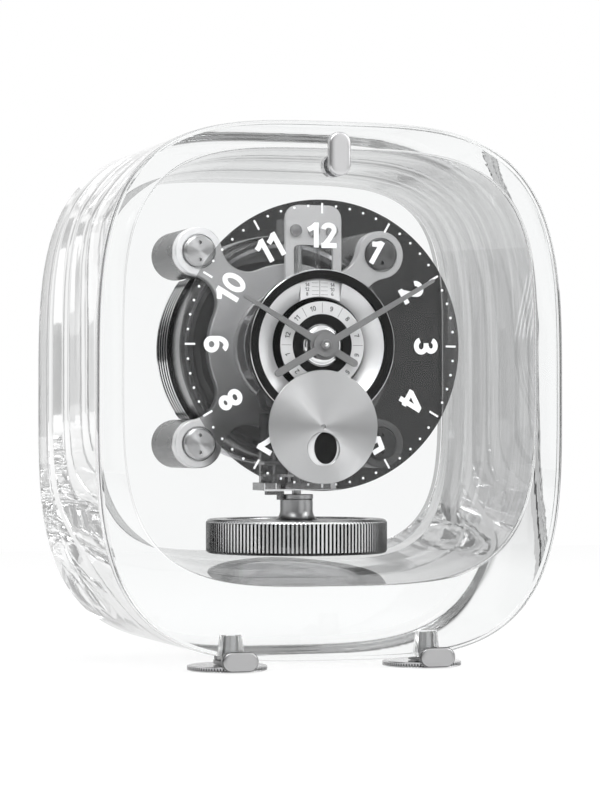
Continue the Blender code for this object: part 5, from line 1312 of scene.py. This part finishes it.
def floor():
    """A pale floor that shows white and keeps a soft shadow."""
    make = Maker(bpy.data.materials.new("floor_pale"))
    fine = make.noise(make.coordinates(), 30.0, 3.0, 0.6)
    tone = make.colour(fine, (0.90, 0.90, 0.90), (0.93, 0.93, 0.93))
    plain = make.add("ShaderNodeBsdfDiffuse", {"Color": tone})
    path = make.path()
    place = make.add("ShaderNodeTexCoord").outputs["Object"]
    away = make.add("ShaderNodeVectorMath", {0: place}, operation="LENGTH").outputs["Value"]
    far = make.spread(away, 0.80, 1.0, 0.10, 0.40)
    straight = make.math("LESS_THAN", path["Glossy Depth"], 0.5)
    dimmed = kept_back(make, path, straight)
    light = make.times(make.most(far, straight), make.math("SUBTRACT", 1.0, dimmed))
    glow = make.add("ShaderNodeEmission", {"Strength": light})
    seen = make.most(path["Is Camera Ray"], path["Is Transmission Ray"], path["Is Glossy Ray"])
    make.blend(make.times(seen, make.most(0.75, dimmed)), plain.outputs[0], glow.outputs[0])
    mesh = bpy.data.meshes.new("floor")
    reach = 1.2
    corners = [(x * reach, y * reach, 0) for x, y in ((-1, -1), (1, -1), (1, 1), (-1, 1))]
    mesh.from_pydata(corners, [], [(0, 1, 2, 3)])
    mesh.materials.append(make.owner)
    made = stand("floor", mesh, (0, 0, -0.02 * MM))


def lamp(name, place, aim, extent, power):
    """A soft rectangular lamp that looks at a place."""
    light = bpy.data.lights.new(name, "AREA")
    light.shape = "RECTANGLE"
    light.size, light.size_y = extent
    light.energy = power
    look = Vector(aim) - Vector(place)
    stand(name, light, place).rotation_euler = look.to_track_quat("-Z", "Y").to_euler()


def camera():
    """The photograph's viewpoint: from the left and a little below the dial's centre."""
    data = bpy.data.cameras.new("camera")
    data.sensor_fit = "VERTICAL"
    data.sensor_height = 36
    data.lens = 130.1
    data.clip_start = 0.01
    made = stand("camera", data, at(-365.4, -1120.8, -38.9))
    turn = math.radians(-17.64)
    pitch = math.radians(0.806)
    look = Vector((-math.sin(turn) * math.cos(pitch), math.cos(turn) * math.cos(pitch), math.sin(pitch)))
    made.rotation_euler = look.to_track_quat("-Z", "Y").to_euler()
    bpy.context.scene.camera = made


# The clock

for LOOK, *NAMES in CAD_LOOKS:
    for NAME in NAMES:
        for SLOT in NODES[NAME].material_slots:
            SLOT.material = LOOK

crystal_block()
clear_foot()
rear_pane()
door_pane()
drum_shell()
for CORNER, (ACROSS, UP) in PILLARS.items():
    pillar(CORNER, ACROSS, UP)
    pillar_screw(CORNER, ACROSS, UP)
bridge_plate()
balance_ring()
level_disc("left")
level_disc("right")
dial_pane()
dial_numerals()
dial_marks()
ring_black()
dish()
month_ring()
month_print()
moon_shield()
moon_face()
scale_plate()
scale_print()
lower_trim()
centre_dome()
nut_stud()
rounded_hand("hour_hand", "hour", -60, 39.3, 16.2, 6.2, 4.35)
rounded_hand("minute_hand", "minute", 60, 54.1, 24.8, 5.0, 1.8)
latch()
clip("left")
clip("right")
balance_boss()
world()
floor()
lamp("key", (-0.5, -0.9, 1.3), (0, 0, 0.1), (0.9, 0.9), 14)
lamp("fill", (0.9, -0.6, 0.7), (0, 0, 0.1), (0.6, 0.8), 5)
camera()

scene = bpy.context.scene
scene.view_settings.view_transform = "Standard"
scene.cycles.max_bounces = 32
scene.cycles.glossy_bounces = 24
scene.cycles.transmission_bounces = 32
scene.cycles.transparent_max_bounces = 24
